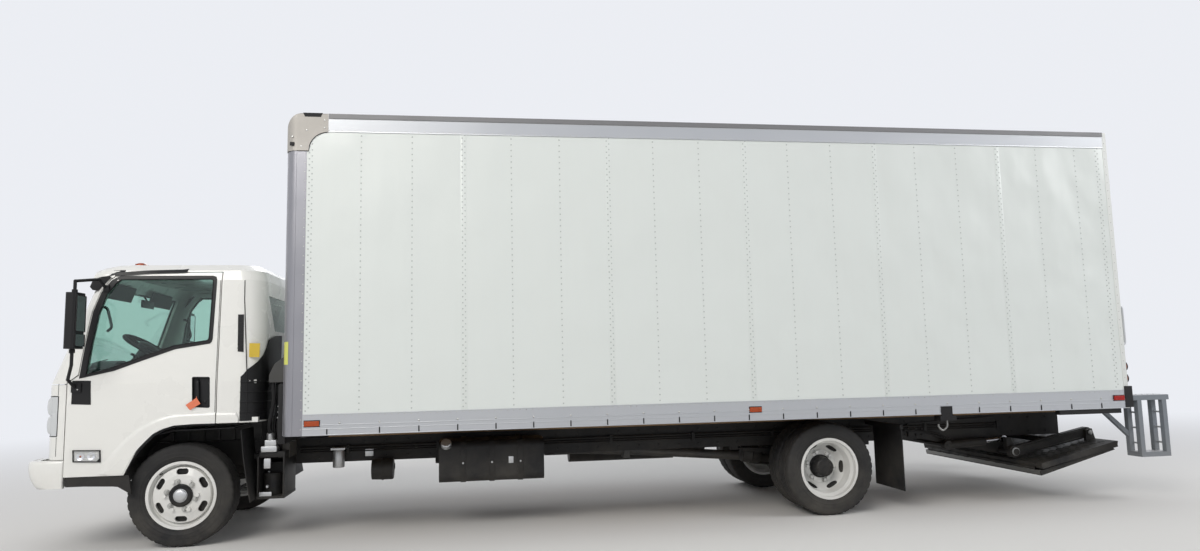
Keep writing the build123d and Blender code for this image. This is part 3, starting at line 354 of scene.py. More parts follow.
metal_rail = finish("rail_bright", (0.50, 0.512, 0.528), 0.36, metal=0.9, brush=160, bump=0.25)
metal_post = finish("post_anodised", (0.29, 0.29, 0.315), 0.38, metal=0.6, coat=0.1, grain=300, bump=0.05)
metal_cap = finish("cap_cast", (0.42, 0.4, 0.37), 0.55, metal=0.3, grain=160, bump=0.25)
metal_engine = finish("engine_cast", (0.09, 0.09, 0.09), 0.6, metal=0.5, grain=120, bump=0.5, dust=0.5,
                      reach=1.2)
metal_cylinder = finish("cylinder_steel", (0.4, 0.4, 0.42), 0.25, metal=1.0, brush=200, bump=0.2)
metal_alloy = finish("bare_alloy", (0.55, 0.56, 0.57), 0.42, metal=0.85, grain=180, bump=0.2, dust=0.3,
                     reach=1.0)
metal_bolt = finish("bolt_zinc", (0.5, 0.5, 0.48), 0.35, metal=1.0, grain=200, bump=0.1)
wood_floor = finish("floor_boards", (0.3, 0.19, 0.1), 0.6, grain=90, bump=0.4)
cloth_seat = finish("seat_cloth", (0.09, 0.09, 0.1), 0.9, grain=1100, bump=0.5)
print("finishes", len(bpy.data.materials))


# %% [markdown]
# Clear parts come from a second maker that lets light through. The windows are tinted green, the
# lamps' lenses take their own colours, and a mirror is simply very smooth metal.

# %% Glass and lenses
glass_cab = clear("cab_glazing", (0.59, 0.775, 0.71), rough=0.01)
lens_white = clear("lens_clear", (0.93, 0.94, 0.95))
lens_amber = clear("lens_amber", (0.66, 0.11, 0.02), 0.45, 0.2)
lens_red = clear("lens_red", (0.6, 0.02, 0.015), 0.35, 0.2)
mirror_glass = finish("mirror_glass", (0.8, 0.82, 0.84), 0.03, metal=1.0)
print("glazing ready")

# %% [markdown]
# Every CAD node now gets its finish. The list reads like a parts list, and a node that is
# missing from it would show up as the frame's plain grey in the first render.

# %% Dress the CAD nodes
outfit = {
    underbody_black_and_shade: "frame front_axle leaf_springs rear_axle fuel_tank battery_box exhaust side_equipment "
                   "knuckle_left knuckle_right tie_rod gate_mount lift_arms lift_barrels platform",
    paint_cab: "front_bumper cab_shell cab_front_panel left_door right_door",
    metal_engine: "engine_block driveline",
    plastic_duct: "air_duct",
    rubber_black: "mudguards dock_bumpers",
    rubber_tyre: "front_left_tyre front_right_tyre rear_left_tyres rear_right_tyres",
    paint_wheel: "front_left_rim front_right_rim rear_left_rims rear_right_rims",
    lens_white: "cab_lamps",
    glass_cab: "cab_glass left_door_glass right_door_glass",
    plastic_dash: "dashboard",
    cloth_seat: "seats",
    plastic_black: "arch_liners left_mirror right_mirror",
    wood_floor: "body_floor",
    paint_panel: "left_wall right_wall front_wall",
    metal_post: "corner_posts",
    metal_cap: "corner_caps",
    metal_rail: "body_roof side_rails",
    paint_frame_white: "rear_frame rollup_door",
    lens_amber: "body_lamps",
    paint_step: "rear_steps",
    metal_cylinder: "lift_rods",
}
for material, names in outfit.items():
    for name in names.split():
        mesh = nodes[name].data
        mesh.materials.clear()
        mesh.materials.append(material)
print("dressed", sum(len(names.split()) for names in outfit.values()), "of", len(nodes))

# %% [markdown]
# The small pieces are mesh work. A modelling session in the viewport would do, but a script can
# repeat a rivet a thousand times without a slip, so a few builders follow: each adds one kind of
# solid to a bmesh. `keep` moves the bmesh from the front axle's frame to the truck's, turns it into
# an object that rides on one of the truck's bodies, and gives it the finish it is handed.


# %% Mesh builders
def keep(name, bm, material, body, smooth=35):
    bmesh.ops.recalc_face_normals(bm, faces=bm.faces)
    bmesh.ops.translate(bm, vec=(AXLE, 0, 0), verts=bm.verts)
    mesh = bpy.data.meshes.new(name)
    bm.to_mesh(mesh)
    bm.free()
    mesh.shade_smooth()
    mesh.set_sharp_from_angle(angle=radians(smooth))
    mesh.materials.append(material)
    made = bpy.data.objects.new(name, mesh)
    bpy.context.collection.objects.link(made)
    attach(made, body)
    return made


def on_both_sides(*makers):
    for side, sign in (("left", 1), ("right", -1)):
        for maker in makers:
            maker(side, sign)


def add_box(bm, low, high, bevel=0.0, turn=None, about=(0, 0, 0)):
    """A bevelled box between two opposite corners, in any order."""
    size = [abs(b - a) for a, b in zip(low, high)]
    middle = [(a + b) / 2 for a, b in zip(low, high)]
    matrix = Matrix.Translation(middle) @ Matrix.Diagonal((*size, 1))
    made = bmesh.ops.create_cube(bm, size=1, matrix=matrix)["verts"]
    if bevel:
        edges = {edge for vert in made for edge in vert.link_edges}
        made = bmesh.ops.bevel(bm, geom=list(edges), offset=bevel, segments=2, profile=0.6,
                               affect="EDGES", clamp_overlap=True)["verts"]
    if turn:
        bmesh.ops.rotate(bm, cent=about, matrix=turn, verts=[v for v in made if v.is_valid])


def frame_along(direction):
    ahead = Vector(direction).normalized()
    side = ahead.cross(Vector((0, 0, 1)) if abs(ahead.z) < 0.9 else Vector((0, 1, 0))).normalized()
    return side, ahead.cross(side)


def turns(count, start=0.0):
    """Cosine and sine of angles spread evenly round a full turn."""
    angles = [start + 2 * pi * k / count for k in range(count)]
    return [(cos(a), sin(a)) for a in angles]


def circle(centre, radius, side, up, count):
    return [centre + radius * (c * side + s * up) for c, s in turns(count)]


def arc(centre, across, high, degrees):
    """Points of a flat arc or ellipse."""
    return [(centre[0] + across * cos(radians(a)), centre[1] + high * sin(radians(a))) for a in degrees]


def add_ring_stack(bm, rings, close_loop=False):
    """Skins a list of equal rings of points, with both ends closed or joined to each other."""
    rows = [[bm.verts.new(point) for point in ring] for ring in rings]
    count = len(rows[0])
    for a, b in list(zip(rows, rows[1:])) + ([(rows[-1], rows[0])] if close_loop else []):
        for i in range(count):
            bm.faces.new((a[i], a[(i + 1) % count], b[(i + 1) % count], b[i]))
    if not close_loop:
        bm.faces.new(rows[0][::-1])
        bm.faces.new(rows[-1])


def add_tube(bm, points, radius, sides=10):
    points = [Vector(p) for p in points]
    side, up = frame_along(points[1] - points[0])
    rings = []
    for i, point in enumerate(points):
        ahead = (points[min(i + 1, len(points) - 1)] - points[max(i - 1, 0)]).normalized()
        side = (side - ahead * side.dot(ahead)).normalized()
        up = ahead.cross(side)
        rings.append(circle(point, radius, side, up, sides))
    add_ring_stack(bm, rings)


def rounded(points, radius, steps=4):
    """A route with its inner corners turned into short bends."""
    points = [Vector(p) for p in points]
    route = [points[0]]
    for before, corner, after in zip(points, points[1:], points[2:]):
        a = corner + (before - corner).normalized() * min(radius, (before - corner).length * 0.45)
        b = corner + (after - corner).normalized() * min(radius, (after - corner).length * 0.45)
        for i in range(steps + 1):
            t = i / steps
            route.append((1 - t) ** 2 * a + 2 * t * (1 - t) * corner + t * t * b)
    return route + [points[-1]]


def add_lathe(bm, profile, centre, axis, steps):
    """Turns (radius, offset) points about an axis: a solid if both ends lie on it, else a ring."""
    side, up = frame_along(axis)
    along = Vector(axis).normalized()
    rows = [[bm.verts.new(Vector(centre) + along * w + r * (c * side + s * up)) for r, w in profile]
            for c, s in turns(steps)]
    solid = profile[0][0] == profile[-1][0] == 0
    for a, b in zip(rows, rows[1:] + rows[:1]):
        for i in range(len(profile) - solid):
            j = (i + 1) % len(profile)
            bm.faces.new((a[i], a[j], b[j], b[i]))


def add_head(bm, place, axis, radius, height, sides=8, dome=0.6):
    """A rivet or bolt head: a short drum with a smaller top."""
    side, up = frame_along(axis)
    along = Vector(axis).normalized()
    levels = ((radius, -0.0015), (radius, height * 0.45), (radius * dome, height))
    add_ring_stack(bm, [circle(Vector(place) + along * h, r, side, up, sides) for r, h in levels])


def add_slab(bm, outline, shift):
    """A flat outline of 3-D points pushed along a vector."""
    shift = Vector(shift)
    add_ring_stack(bm, [[Vector(p) for p in outline], [Vector(p) + shift for p in outline]])


def add_band(bm, outer, inner, shift):
    """A flat frame between two outlines with equal point counts, pushed along a vector."""
    shift = Vector(shift)
    outer, inner = [Vector(p) for p in outer], [Vector(p) for p in inner]
    add_ring_stack(bm, [outer, inner, [p + shift for p in inner], [p + shift for p in outer]],
                   close_loop=True)


print("builders ready")

# %% [markdown]
# Tyres. A truck's steer and drive tyres here share one highway pattern: four straight grooves with a
# slight wave, five ribs, and short cuts along both shoulders. Turning one profile gives the carcass,
# the bead and the sidewall rings, and moving single points of that profile as it turns makes the wave
# and the cuts, so the tread is real shape and not only bump. Each piece stands for its CAD tyre.


# %% Tyres
tyre_r, front_y, rear_x, twin_out, twin_in = 0.4, 0.8325, -5.38, 0.9525, 0.6975
side_profile = [(0.2495, 0.0795), (0.2655, 0.0858), (0.2668, 0.0925), (0.2735, 0.0985), (0.279, 0.099),
                (0.2805, 0.103), (0.285, 0.104), (0.3, 0.109), (0.3035, 0.111), (0.3065, 0.1095),
                (0.318, 0.1125), (0.338, 0.1128), (0.3405, 0.1118), (0.345, 0.1118), (0.3475, 0.112),
                (0.365, 0.1105), (0.378, 0.1085)]
shoulder = [(0.3895, 0.1045), (0.3965, 0.095), (0.3988, 0.086)]
groove_edges = [(0.3994, 0.062), (0.389, 0.06), (0.389, 0.0535), (0.3998, 0.0515),
                (0.4, 0.023), (0.388, 0.0215), (0.388, 0.0125), (0.4, 0.011)]
tread_steps, groove_wave, shoulder_cut = 160, 0.0024, 0.006


def tread_ring(step):
    """One section of the tyre at a step round it, from bead to bead."""
    wave = groove_wave if step % 4 < 2 else -groove_wave
    cut = shoulder_cut if step % 4 == 1 else 0
    half = side_profile + [(r - cut, w) for r, w in shoulder]
    left = half + [(r, w + wave) for r, w in groove_edges]
    right = [(r, -w) for r, w in half] + [(r, -w + wave) for r, w in groove_edges]
    return left + right[::-1]


def tyre_piece(name, node_name, body, centres):
    bm = bmesh.new()
    for centre in centres:
        add_ring_stack(bm, [[Vector(centre) + Vector((r * c, w, r * s)) for r, w in tread_ring(k)]
                            for k, (c, s) in enumerate(turns(tread_steps))], close_loop=True)
    made = keep(name, bm, rubber_tyre, body, smooth=50)
    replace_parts(made, node_name)
    print(name, len(made.data.polygons), "faces")


def tyres(side, sign):
    tyre_piece(f"tread_front_{side}", f"front_{side}_tyre", f"front_{side}_wheel",
               [(0, sign * front_y, tyre_r)])
    tyre_piece(f"tread_rear_{side}", f"rear_{side}_tyres", f"rear_{side}_wheels",
               [(rear_x, sign * y, tyre_r) for y in (twin_out, twin_in)])


on_both_sides(tyres)

# %% [markdown]
# Wheel fittings. The white steel rims are CAD solids, so what is missing is the hardware: flanged
# nuts with a stud end, a black hub with a grey grease cap in front, a black drive hub in the rear
# dish, and a valve. The dish of the outer rear wheel is deep, with six large oval hand holes, and
# the brake drum behind all holes is black. A hole could be cut with a boolean, but a grid that runs
# from each hole to its sector's edges gives a cleaner cone. The sign of the side turns each set.


# %% Hubs, nuts and valves
front_disc_y, rear_disc_y, stud_start = 0.9275, 0.825, 0.26


def keep_on_wheel(axle, side, name, bm, material, smooth=35):
    body = f"{axle}_{side}_wheel" + ("s" if axle == "rear" else "")
    keep(f"{axle}_{side}_{name}", bm, material, body, smooth)


def wheel_nuts(axle, side, centre, circle_radius, lift, heads):
    nuts = bmesh.new()
    sign = 1 if side == "left" else -1
    for c, s in turns(6, stud_start):
        spot = centre + Vector((circle_radius * c, sign * lift, circle_radius * s))
        for head in heads:
            add_head(nuts, spot, (0, sign, 0), *head)
    keep_on_wheel(axle, side, "nuts", nuts, metal_bolt)


def wheel_fittings(side, sign):
    out = (0, sign, 0)
    flange, hexagon, stud = (0.023, 0.008, 16, 0.9), (0.0185, 0.024, 6, 0.86), (0.0095, 0.033, 10, 0.8)
    front = Vector((0, sign * front_disc_y, tyre_r))
    wheel_nuts("front", side, front, 0.1111, -0.003, (flange, hexagon, stud))
    hub = bmesh.new()
    add_lathe(hub, [(0.052, 0), (0.088, 0), (0.0895, 0.004), (0.08, 0.01), (0.0785, 0.016), (0.076, 0.019),
                    (0.052, 0.019)], front, out, 40)
    keep_on_wheel("front", side, "hub_ring", hub, plastic_black)
    cap = bmesh.new()
    add_lathe(cap, [(0, 0.04), (0.03, 0.0395), (0.041, 0.036), (0.047, 0.03), (0.049, 0.012), (0.0525, 0.01),
                    (0.0525, 0.0192), (0, 0.0192)], front, out, 36)
    keep_on_wheel("front", side, "grease_cap", cap, metal_alloy)
    valve = bmesh.new()
    for start, end, radius in ((-0.045, -0.012, 0.0048), (-0.012, 0.004, 0.0062)):
        add_tube(valve, [front + Vector((0.16, sign * v, 0.168)) for v in (start, end)], radius)
    keep_on_wheel("front", side, "valve", valve, rubber_black)
    rear = Vector((rear_x, sign * rear_disc_y, tyre_r))
    drive = bmesh.new()
    add_lathe(drive, [(0, 0.135), (0.06, 0.134), (0.072, 0.131), (0.079, 0.124), (0.083, 0.1),
                      (0.0935, 0.026), (0.1025, 0.0235), (0.1025, 0.0185), (0, 0.0185)], rear, out, 40)
    for c, s in turns(8):
        add_head(drive, rear + Vector((0.06 * c, sign * 0.133, 0.06 * s)), out, 0.008, 0.008, 6, 0.85)
    keep_on_wheel("rear", side, "drive_hub", drive, plastic_black)
    wheel_nuts("rear", side, rear, 0.1265, 0.013, (flange, (0.0185, 0.027, 6, 0.86)))


hole_half_width, hole_half_height, hole_start = 0.56, 0.52, 2


def rear_dish(side, sign):
    """The outer twin's cone with six oval hand holes, each sector a grid from its hole to its edges."""
    centre = Vector((rear_x, sign * rear_disc_y, tyre_r))

    def on_cone(angle, v, sink=0.0):
        s = (v + 1) / 2
        r, y = 0.146 + 0.073 * s + sink, 0.0155 + 0.075 * s ** 1.15 - sink
        return centre + Vector((r * cos(angle), sign * y, r * sin(angle)))

    dish = bmesh.new()
    around, steps = 40, 5
    for k in range(6):
        middle = radians(hole_start + 60 * k)
        rings = []
        for step in range(-1, steps + 1):
            t = max(step, 0) / steps
            ring = []
            for c, s in turns(around):
                edge = 1 / max(abs(c), abs(s))
                u = c * (hole_half_width + (edge - hole_half_width) * t)
                v = 0.1 * (1 - t) + s * (hole_half_height + (edge - hole_half_height) * t)
                ring.append(dish.verts.new(on_cone(middle + radians(30) * u, v, 0.006 if step < 0 else 0)))
            rings.append(ring)
        for low, high in zip(rings, rings[1:]):
            for i in range(around):
                j = (i + 1) % around
                dish.faces.new((low[i], low[j], high[j], high[i]))
    bmesh.ops.remove_doubles(dish, verts=dish.verts, dist=0.00002)
    keep_on_wheel("rear", side, "dish", dish, paint_wheel, smooth=40)
    drum = bmesh.new()
    add_lathe(drum, [(0.158, 0.015), (0.2165, 0.07), (0.218, 0.066), (0.164, 0.0146)], centre, (0, sign, 0),
              40)
    keep_on_wheel("rear", side, "drum_face", drum, plastic_black)
    drum = bmesh.new()
    add_lathe(drum, [(0.12, -0.046), (0.21, -0.046), (0.21, -0.052), (0.12, -0.052)],
              (0, sign * front_disc_y, tyre_r), (0, sign, 0), 40)
    keep_on_wheel("front", side, "drum_face", drum, plastic_black)


on_both_sides(wheel_fittings, rear_dish)
print("wheel fittings on both axles")

# %% [markdown]
# The body's skin is prepainted sheet, riveted to posts every 16 inches, with a finer row along the
# bright rails. Bump could fake the heads, but in raking light and in the exported mesh they read as
# real only when they stand proud, so each is a small dome of a few faces, joined into one mesh.


# %% Rivets on the body
side_y, rail_y = 1.2172, 1.2212
post_x0, post_pitch, crossmember_pitch, rail_rear = -0.9886, 0.4064, 0.3048, -8.144
rivet_columns = [post_x0 - post_pitch * i for i in range(18)] + [-8.123]
rivet_rows, lowest_rivet, highest_rivet = 46, 1.045, 3.262


def stations(start, end, pitch):
    """Places along the body from a start back towards an end."""
    found = []
    while start > end:
        found.append(start)
        start -= pitch
    return found


def body_rivets(side, sign):
    out = (0, sign, 0)
    bm = bmesh.new()
    for i, x in enumerate(rivet_columns):
        for k in range(rivet_rows):
            z = lowest_rivet + (highest_rivet - lowest_rivet) * k / (rivet_rows - 1)
            add_head(bm, (x, sign * side_y, z), out, 0.0064, 0.003, 7)
            if i % 3 == 0:
                add_head(bm, (x - 0.022, sign * side_y, z + 0.024), out, 0.006, 0.0028, 7)
    # Their grey finish is painted shade for the shadows round the heads.
    keep(f"{side}_wall_rivets", bm, rivet_shade_paint, "chassis", smooth=80)
    laps = bmesh.new()
    for x in rivet_columns[3:18:3]:
        add_box(laps, (x - 0.036, sign * (side_y - 0.001), 1.018),
                (x + 0.014, sign * (side_y + 0.0009), 3.288), 0.0004)
    keep(f"{side}_sheet_laps", laps, paint_panel, "chassis")
    bm = bmesh.new()
    for x in stations(-0.988, -8.184, 0.0508):
        for z in (1.004, 3.303):
            add_head(bm, (x, sign * rail_y, z), out, 0.0046, 0.0024, 7)
    for x in stations(-1.2498, rail_rear, crossmember_pitch):
        add_head(bm, (x, sign * rail_y, 0.945), out, 0.0088, 0.0045, 8)
    keep(f"{side}_rail_rivets", bm, metal_bolt, "chassis", smooth=80)
    bm = bmesh.new()
    for x, count in ((-0.955, 32), (-8.22, 33)):
        for k in range(count):
            add_head(bm, (x, sign * 1.2192, 0.9 + 0.0762 * k), out, 0.0046, 0.0022, 7)
    keep(f"{side}_edge_rivets", bm, metal_bolt, "chassis", smooth=80)


on_both_sides(body_rivets)
print("rivets per side", len(rivet_columns) * rivet_rows)

# %% [markdown]
# Rails. The extrusions along the floor and the roof have a rub line, a drip lip and slots where the
# crossmember bolts pass. Long thin ribs catch the light like the real section does, and the lip
# above the roof rail is painted dark grey, as painted shade of the rail's curved top.


# %% Rail ribs, gutter and bolt slots
rib_rear, rib_front = -8.199, -0.969


def rail_trim(side, sign):
    ribs = bmesh.new()
    for z, deep in ((0.9315, 0.0042), (0.9005, 0.003), (0.8545, 0.0045), (1.0145, 0.003), (3.293, 0.003)):
        add_box(ribs, (rib_rear, sign * (rail_y - 0.001), z - 0.0032),
                (rib_front, sign * (rail_y + deep), z + 0.0032), 0.0012)
    keep(f"{side}_rail_ribs", ribs, metal_rail, "chassis")
    # The top lip is part of the bright rail; its dark grey finish is painted shade for its curved top.
    shaded_top_lip = bmesh.new()
    lip = [(1.2312, 3.3975), (1.2352, 3.4), (1.2352, 3.4385), (1.2312, 3.4398)]
    add_slab(shaded_top_lip, [(rib_rear, sign * y, z) for y, z in lip], (7.063, 0, 0))
    keep(f"{side}_gutter", shaded_top_lip, top_lip_shade, "chassis")
    slots = bmesh.new()
    for x, top in [(x, 0.905) for x in stations(-1.5546, rail_rear, crossmember_pitch)] + [(-1.154, 0.9)]:
        add_box(slots, (x - 0.005, sign * (rail_y + 0.0002), 0.858),
                (x + 0.005, sign * (rail_y + 0.0032), top), 0.001)
    keep(f"{side}_rail_slots", slots, rubber_black, "chassis")


# Dark grey here is painted shade for the rail's curved top lip.
top_lip_shade = finish("lip_painted_shade", (0.2, 0.2, 0.205), 0.5, metal=0.4, grain=300, bump=0.1)
on_both_sides(rail_trim)
print("rails trimmed")

# %% [markdown]
# Trim on a curved cab needs the cab's own skin. Shrinkwrapping a strip would follow it too, but the
# skin is known as five plan outlines with straight walls between them, so one function gives the
# half width at any length and height, and every seal, cap and lamp is laid on it exactly.


# %% The cab's skin as a function
cab_levels = ((0.56, 1.03, 1.02), (1.29, 1.04, 1.02), (2.11, 0.752, 0.962), (2.19, 0.7, 0.936),
              (2.245, 0.56, 0.85))
cab_bow, cab_corner = 0.06, 0.12


def cab_section(z):
    """Front at the centre and half width at a height."""
    for (z0, f0, h0), (z1, f1, h1) in zip(cab_levels, cab_levels[1:]):
        if z <= z1 or z1 == cab_levels[-1][0]:
            t = max(0, (z - z0) / (z1 - z0))
            return f0 + (f1 - f0) * t, h0 + (h1 - h0) * t


def cab_side(x, z):
    """Half width of the skin; x counts from the front axle."""
    front, half = cab_section(z)
    start = front - cab_bow - cab_corner
    if x <= start:
        return half
    return half - cab_corner + sqrt(max(0, cab_corner ** 2 - (x - start) ** 2))


def cab_face(y, z):
    """Where the bowed front stands at a width and height."""
    front, half = cab_section(z)
    flat = half - cab_corner
    if abs(y) <= flat:
        return front - cab_bow * (y / flat) ** 2
    return front - cab_bow - cab_corner + sqrt(max(0, cab_corner ** 2 - (abs(y) - flat) ** 2))


def dense(points, step=0.045):
    """Splits a closed outline's long sides, so that it can follow a curve."""
    made = []
    for (x0, z0), (x1, z1) in zip(points, points[1:] + points[:1]):
        count = max(1, round(sqrt((x1 - x0) ** 2 + (z1 - z0) ** 2) / step))
        made += [(x0 + (x1 - x0) * i / count, z0 + (z1 - z0) * i / count) for i in range(count)]
    return made


def on_side(points, lift, sign):
    return [Vector((x, sign * (cab_side(x, z) + lift), z)) for x, z in points]


def side_band(bm, outer, inner, low, high, sign):
    """A raised frame on the cab's side between two outlines with equal point counts."""
    rings = [on_side(outer, low, sign), on_side(inner, low, sign), on_side(inner, high, sign),
             on_side(outer, high, sign)]
    add_ring_stack(bm, rings, close_loop=True)


def side_patch(bm, upper, lower, count, low, high, sign):
    """A raised strip between an upper and a lower line, from one lift over the skin to another."""
    rings = [[Vector((x, sign * (cab_side(x, z) + lift), z))
              for (x, z), lift in ((a, low), (b, low), (b, high), (a, high))]
             for a, b in zip(line(upper, count), line(lower, count))]
    add_ring_stack(bm, rings)


def line(points, count):
    """The same number of evenly spread points along a line of a few."""
    lengths = [0]
    for (x0, z0), (x1, z1) in zip(points, points[1:]):
        lengths.append(lengths[-1] + sqrt((x1 - x0) ** 2 + (z1 - z0) ** 2))
    made = []
    for i in range(count):
        want = lengths[-1] * i / (count - 1)
        k = max(j for j in range(len(points) - 1) if lengths[j] <= want + 1e-9)
        t = (want - lengths[k]) / (lengths[k + 1] - lengths[k])
        made.append((points[k][0] + (points[k + 1][0] - points[k][0]) * t,
                     points[k][1] + (points[k + 1][1] - points[k][1]) * t))
    return made


print("skin half width at the door", round(cab_side(0.2, 1.6), 3))

# %% [markdown]
# Black parts draw the cab's face seen from the side: the sash round the door glass, thick along the
# pillar, the corner cap over the windscreen, the rain strip, the sill, and the recess of the door
# handle. Each is a thin moulding with thickness of its own, so its edge casts a line of shade.


# %% Door sash, corner cap, rain strip and sill
sash_out = [(0.742, 1.336), (0.715, 1.601), (0.68, 1.856), (0.628, 2.017), (0.556, 2.116), (0.497, 2.148),
            (-0.2, 2.146), (-0.226, 2.136), (-0.234, 2.112), (-0.223, 1.634), (-0.217, 1.606),
            (-0.204, 1.592), (0.052, 1.552), (0.292, 1.466), (0.492, 1.391)]
sash_in = [(0.694, 1.364), (0.67, 1.601), (0.634, 1.846), (0.586, 1.996), (0.524, 2.082), (0.484, 2.114),
           (-0.188, 2.114), (-0.199, 2.109), (-0.203, 2.1), (-0.193, 1.646), (-0.189, 1.63), (-0.18, 1.62),
           (0.066, 1.583), (0.306, 1.497), (0.504, 1.421)]


def cab_trim(side, sign):
    door = f"{side}_door"
    sash = bmesh.new()
    side_band(sash, sash_out, sash_in, -0.0125, 0.0035, sign)
    keep(f"{side}_door_sash", sash, plastic_black, door, smooth=40)
    lip = bmesh.new()
    add_tube(lip, on_side(dense([(x + (u - x) * 0.9, z + (w - z) * 0.9)
                                 for (x, z), (u, w) in zip(sash_out, sash_in)]), 0.004,
                          sign) + on_side([sash_in[0]], 0.004, sign), 0.0045, 6)
    keep(f"{side}_glass_seal", lip, rubber_black, door)
    cap = bmesh.new()
    side_patch(cap, [(0.715, 2.03), (0.69, 2.12), (0.6, 2.196), (0.47, 2.196)],
               [(0.69, 2.01), (0.655, 2.085), (0.575, 2.15), (0.47, 2.18)], 12, -0.004, 0.006, sign)
    strip = [(0.54, 2.158), (0.3, 2.176), (0.02, 2.184), (0, 2.19)]
    side_patch(cap, [(x, z + 0.016) for x, z in strip], [(x, z - 0.012) for x, z in strip], 16, -0.004,
               0.012, sign)
    keep(f"{side}_rain_strip", cap, plastic_black, "cab")
    sill = bmesh.new()
    side_patch(sill, [(0.815, 0.5835), (0.44, 0.5835), (0.356, 0.5835)],
               [(0.812, 0.516), (0.436, 0.5), (0.334, 0.436)], 14, -0.03, -0.004, sign)
    keep(f"{side}_sill_strip", sill, plastic_black, "cab")
    garnish = bmesh.new()
    side_patch(garnish, [(0.788, 1.322), (0.656, 1.318)], [(0.788, 1.14), (0.648, 1.132)], 6, 0.0005, 0.003,
               sign)
    keep(f"{side}_mirror_garnish", garnish, plastic_black, door)
    recess = bmesh.new()
    hole = [(-0.083, 1.322), (-0.092, 1.33), (-0.208, 1.327), (-0.217, 1.319), (-0.223, 1.092),
            (-0.214, 1.083), (-0.1, 1.091), (-0.091, 1.1)]
    mid = (-0.153, 1.206)
    shrink = [(mid[0] + (x - mid[0]) * 0.93, mid[1] + (z - mid[1]) * 0.965) for x, z in hole]
    side_band(recess, hole, shrink, -0.0236, 0.0022, sign)
    add_ring_stack(recess, [on_side(shrink, -0.0232, sign), on_side(shrink, -0.0205, sign)])
    keep(f"{side}_handle_recess", recess, plastic_black, door)
    handle = bmesh.new()
    x, y = -0.153, sign * 1.0195
    add_tube(handle, rounded([(x + 0.028, y - sign * 0.024, 1.306), (x + 0.028, y - sign * 0.003, 1.29),
                              (x + 0.02, y - sign * 0.001, 1.15), (x + 0.02, y - sign * 0.024, 1.132)],
                             0.012), 0.011, 10)
    add_lathe(handle, [(0, 0), (0.012, 0), (0.012, 0.006), (0.009, 0.008), (0, 0.008)],
              (x - 0.026, y - sign * 0.0215, 1.128), (0, sign, 0), 20)
    keep(f"{side}_door_handle", handle, plastic_black, door)
    seams = bmesh.new()
    add_tube(seams, on_side([(-0.262, z) for z in (0.966, 1.05, 1.29, 1.5, 1.8, 2.105)], 0.0005, sign),
             0.0022, 6)
    add_tube(seams, on_side([(-0.448, 2.105), (-0.452, 1.95), (-0.475, 1.62), (-0.498, 1.3), (-0.5, 1.03),
                             (-0.49, 0.985)], 0.0005, sign), 0.0034, 6)
    keep(f"{side}_cab_seams", seams, rubber_black, "cab")
    slot = bmesh.new()
    side_patch(slot, [(-0.408, 1.824), (-0.452, 1.824)], [(-0.418, 1.524), (-0.462, 1.52)], 3, -0.002,
               0.004, sign)
    for k in range(9):
        z = 1.552 + 0.03 * k
        side_patch(slot, [(-0.416, z + 0.005), (-0.452, z + 0.005)],
                   [(-0.416, z - 0.005), (-0.452, z - 0.005)], 2, 0.003, 0.0085, sign)
    keep(f"{side}_cab_vent", slot, plastic_black, "cab")


on_both_sides(cab_trim)
print("cab trim on both sides")

# %% [markdown]
# The arch is edged by a crease: the door's skin swells out over the wheel in a long curve. It could
# be a bump, but its highlight runs across the whole door, so a soft raised lip is laid on the skin
# and painted with the cab's own white.


# %% Arch flare and its black lip
flare_top = [(0.577, 0.6), (0.52, 0.712), (0.457, 0.795), (0.395, 0.862), (0.322, 0.924), (0.194, 1),
             (0.1, 1.032), (0.019, 1.045), (-0.12, 1.05), (-0.2665, 1.052)]
flare_edge = [(0.397, 0.592), (0.376, 0.64), (0.348, 0.7), (0.3, 0.7745), (0.246, 0.835), (0.188, 0.894),
              (0.12, 0.93), (0.035, 0.954), (-0.12, 0.9615), (-0.2665, 0.9615)]


def flare_piece(name, top, edge, body, sign, count):
    """A soft swell between its top line and the arch's edge."""
    across = 8
    flare = bmesh.new()
    rings = []
    for (x0, z0), (x1, z1) in zip(line(top, count), line(edge, count)):
        rows = []
        for j in range(across + 1):
            t = j / across
            swell = 0.0125 * min(1, (t / 0.2)) ** 1.4 - 0.001 * max(0, (t - 0.6) / 0.4) - 0.0006
            x, z = x0 + (x1 - x0) * t, z0 + (z1 - z0) * t
            rows.append(Vector((x, sign * (cab_side(x, z) + swell), z)))
        under = [Vector((p.x, p.y - sign * (0.006 if j else 0.0008), p.z)) for j, p in enumerate(rows)]
        rings.append(rows + under[::-1])
    add_ring_stack(flare, rings)
    keep(name, flare, paint_cab, body, smooth=60)


def arch_flare(side, sign):
    flare_piece(f"{side}_arch_flare", flare_top, flare_edge, f"{side}_door", sign, 40)
    flare_piece(f"{side}_rear_flare", [(-0.2765, 1.052), (-0.425, 1.047), (-0.438, 1.01)],
                [(-0.2765, 0.9615), (-0.425, 0.9615), (-0.44, 0.963)], "cab", sign, 14)
    lip = bmesh.new()
    inner = [(x - 0.01, z - 0.012) for x, z in flare_edge[:-1]] + [(-0.2665, 0.948)]
    side_patch(lip, [(x - 0.002, z - 0.002) for x, z in flare_edge], inner, 40, -0.05, -0.004, sign)
    keep(f"{side}_arch_lip", lip, plastic_black, "cab", smooth=60)


on_both_sides(arch_flare)
print("flares laid")

# %% [markdown]
# The turn lamp low on the door's corner has a black bezel, two chromed bowls and a clear lens. Real
# depth is what makes a lamp look like one, so the bowls are turned shapes with a small bulb behind
# the lens. The headlamps get the same with the cab's face.


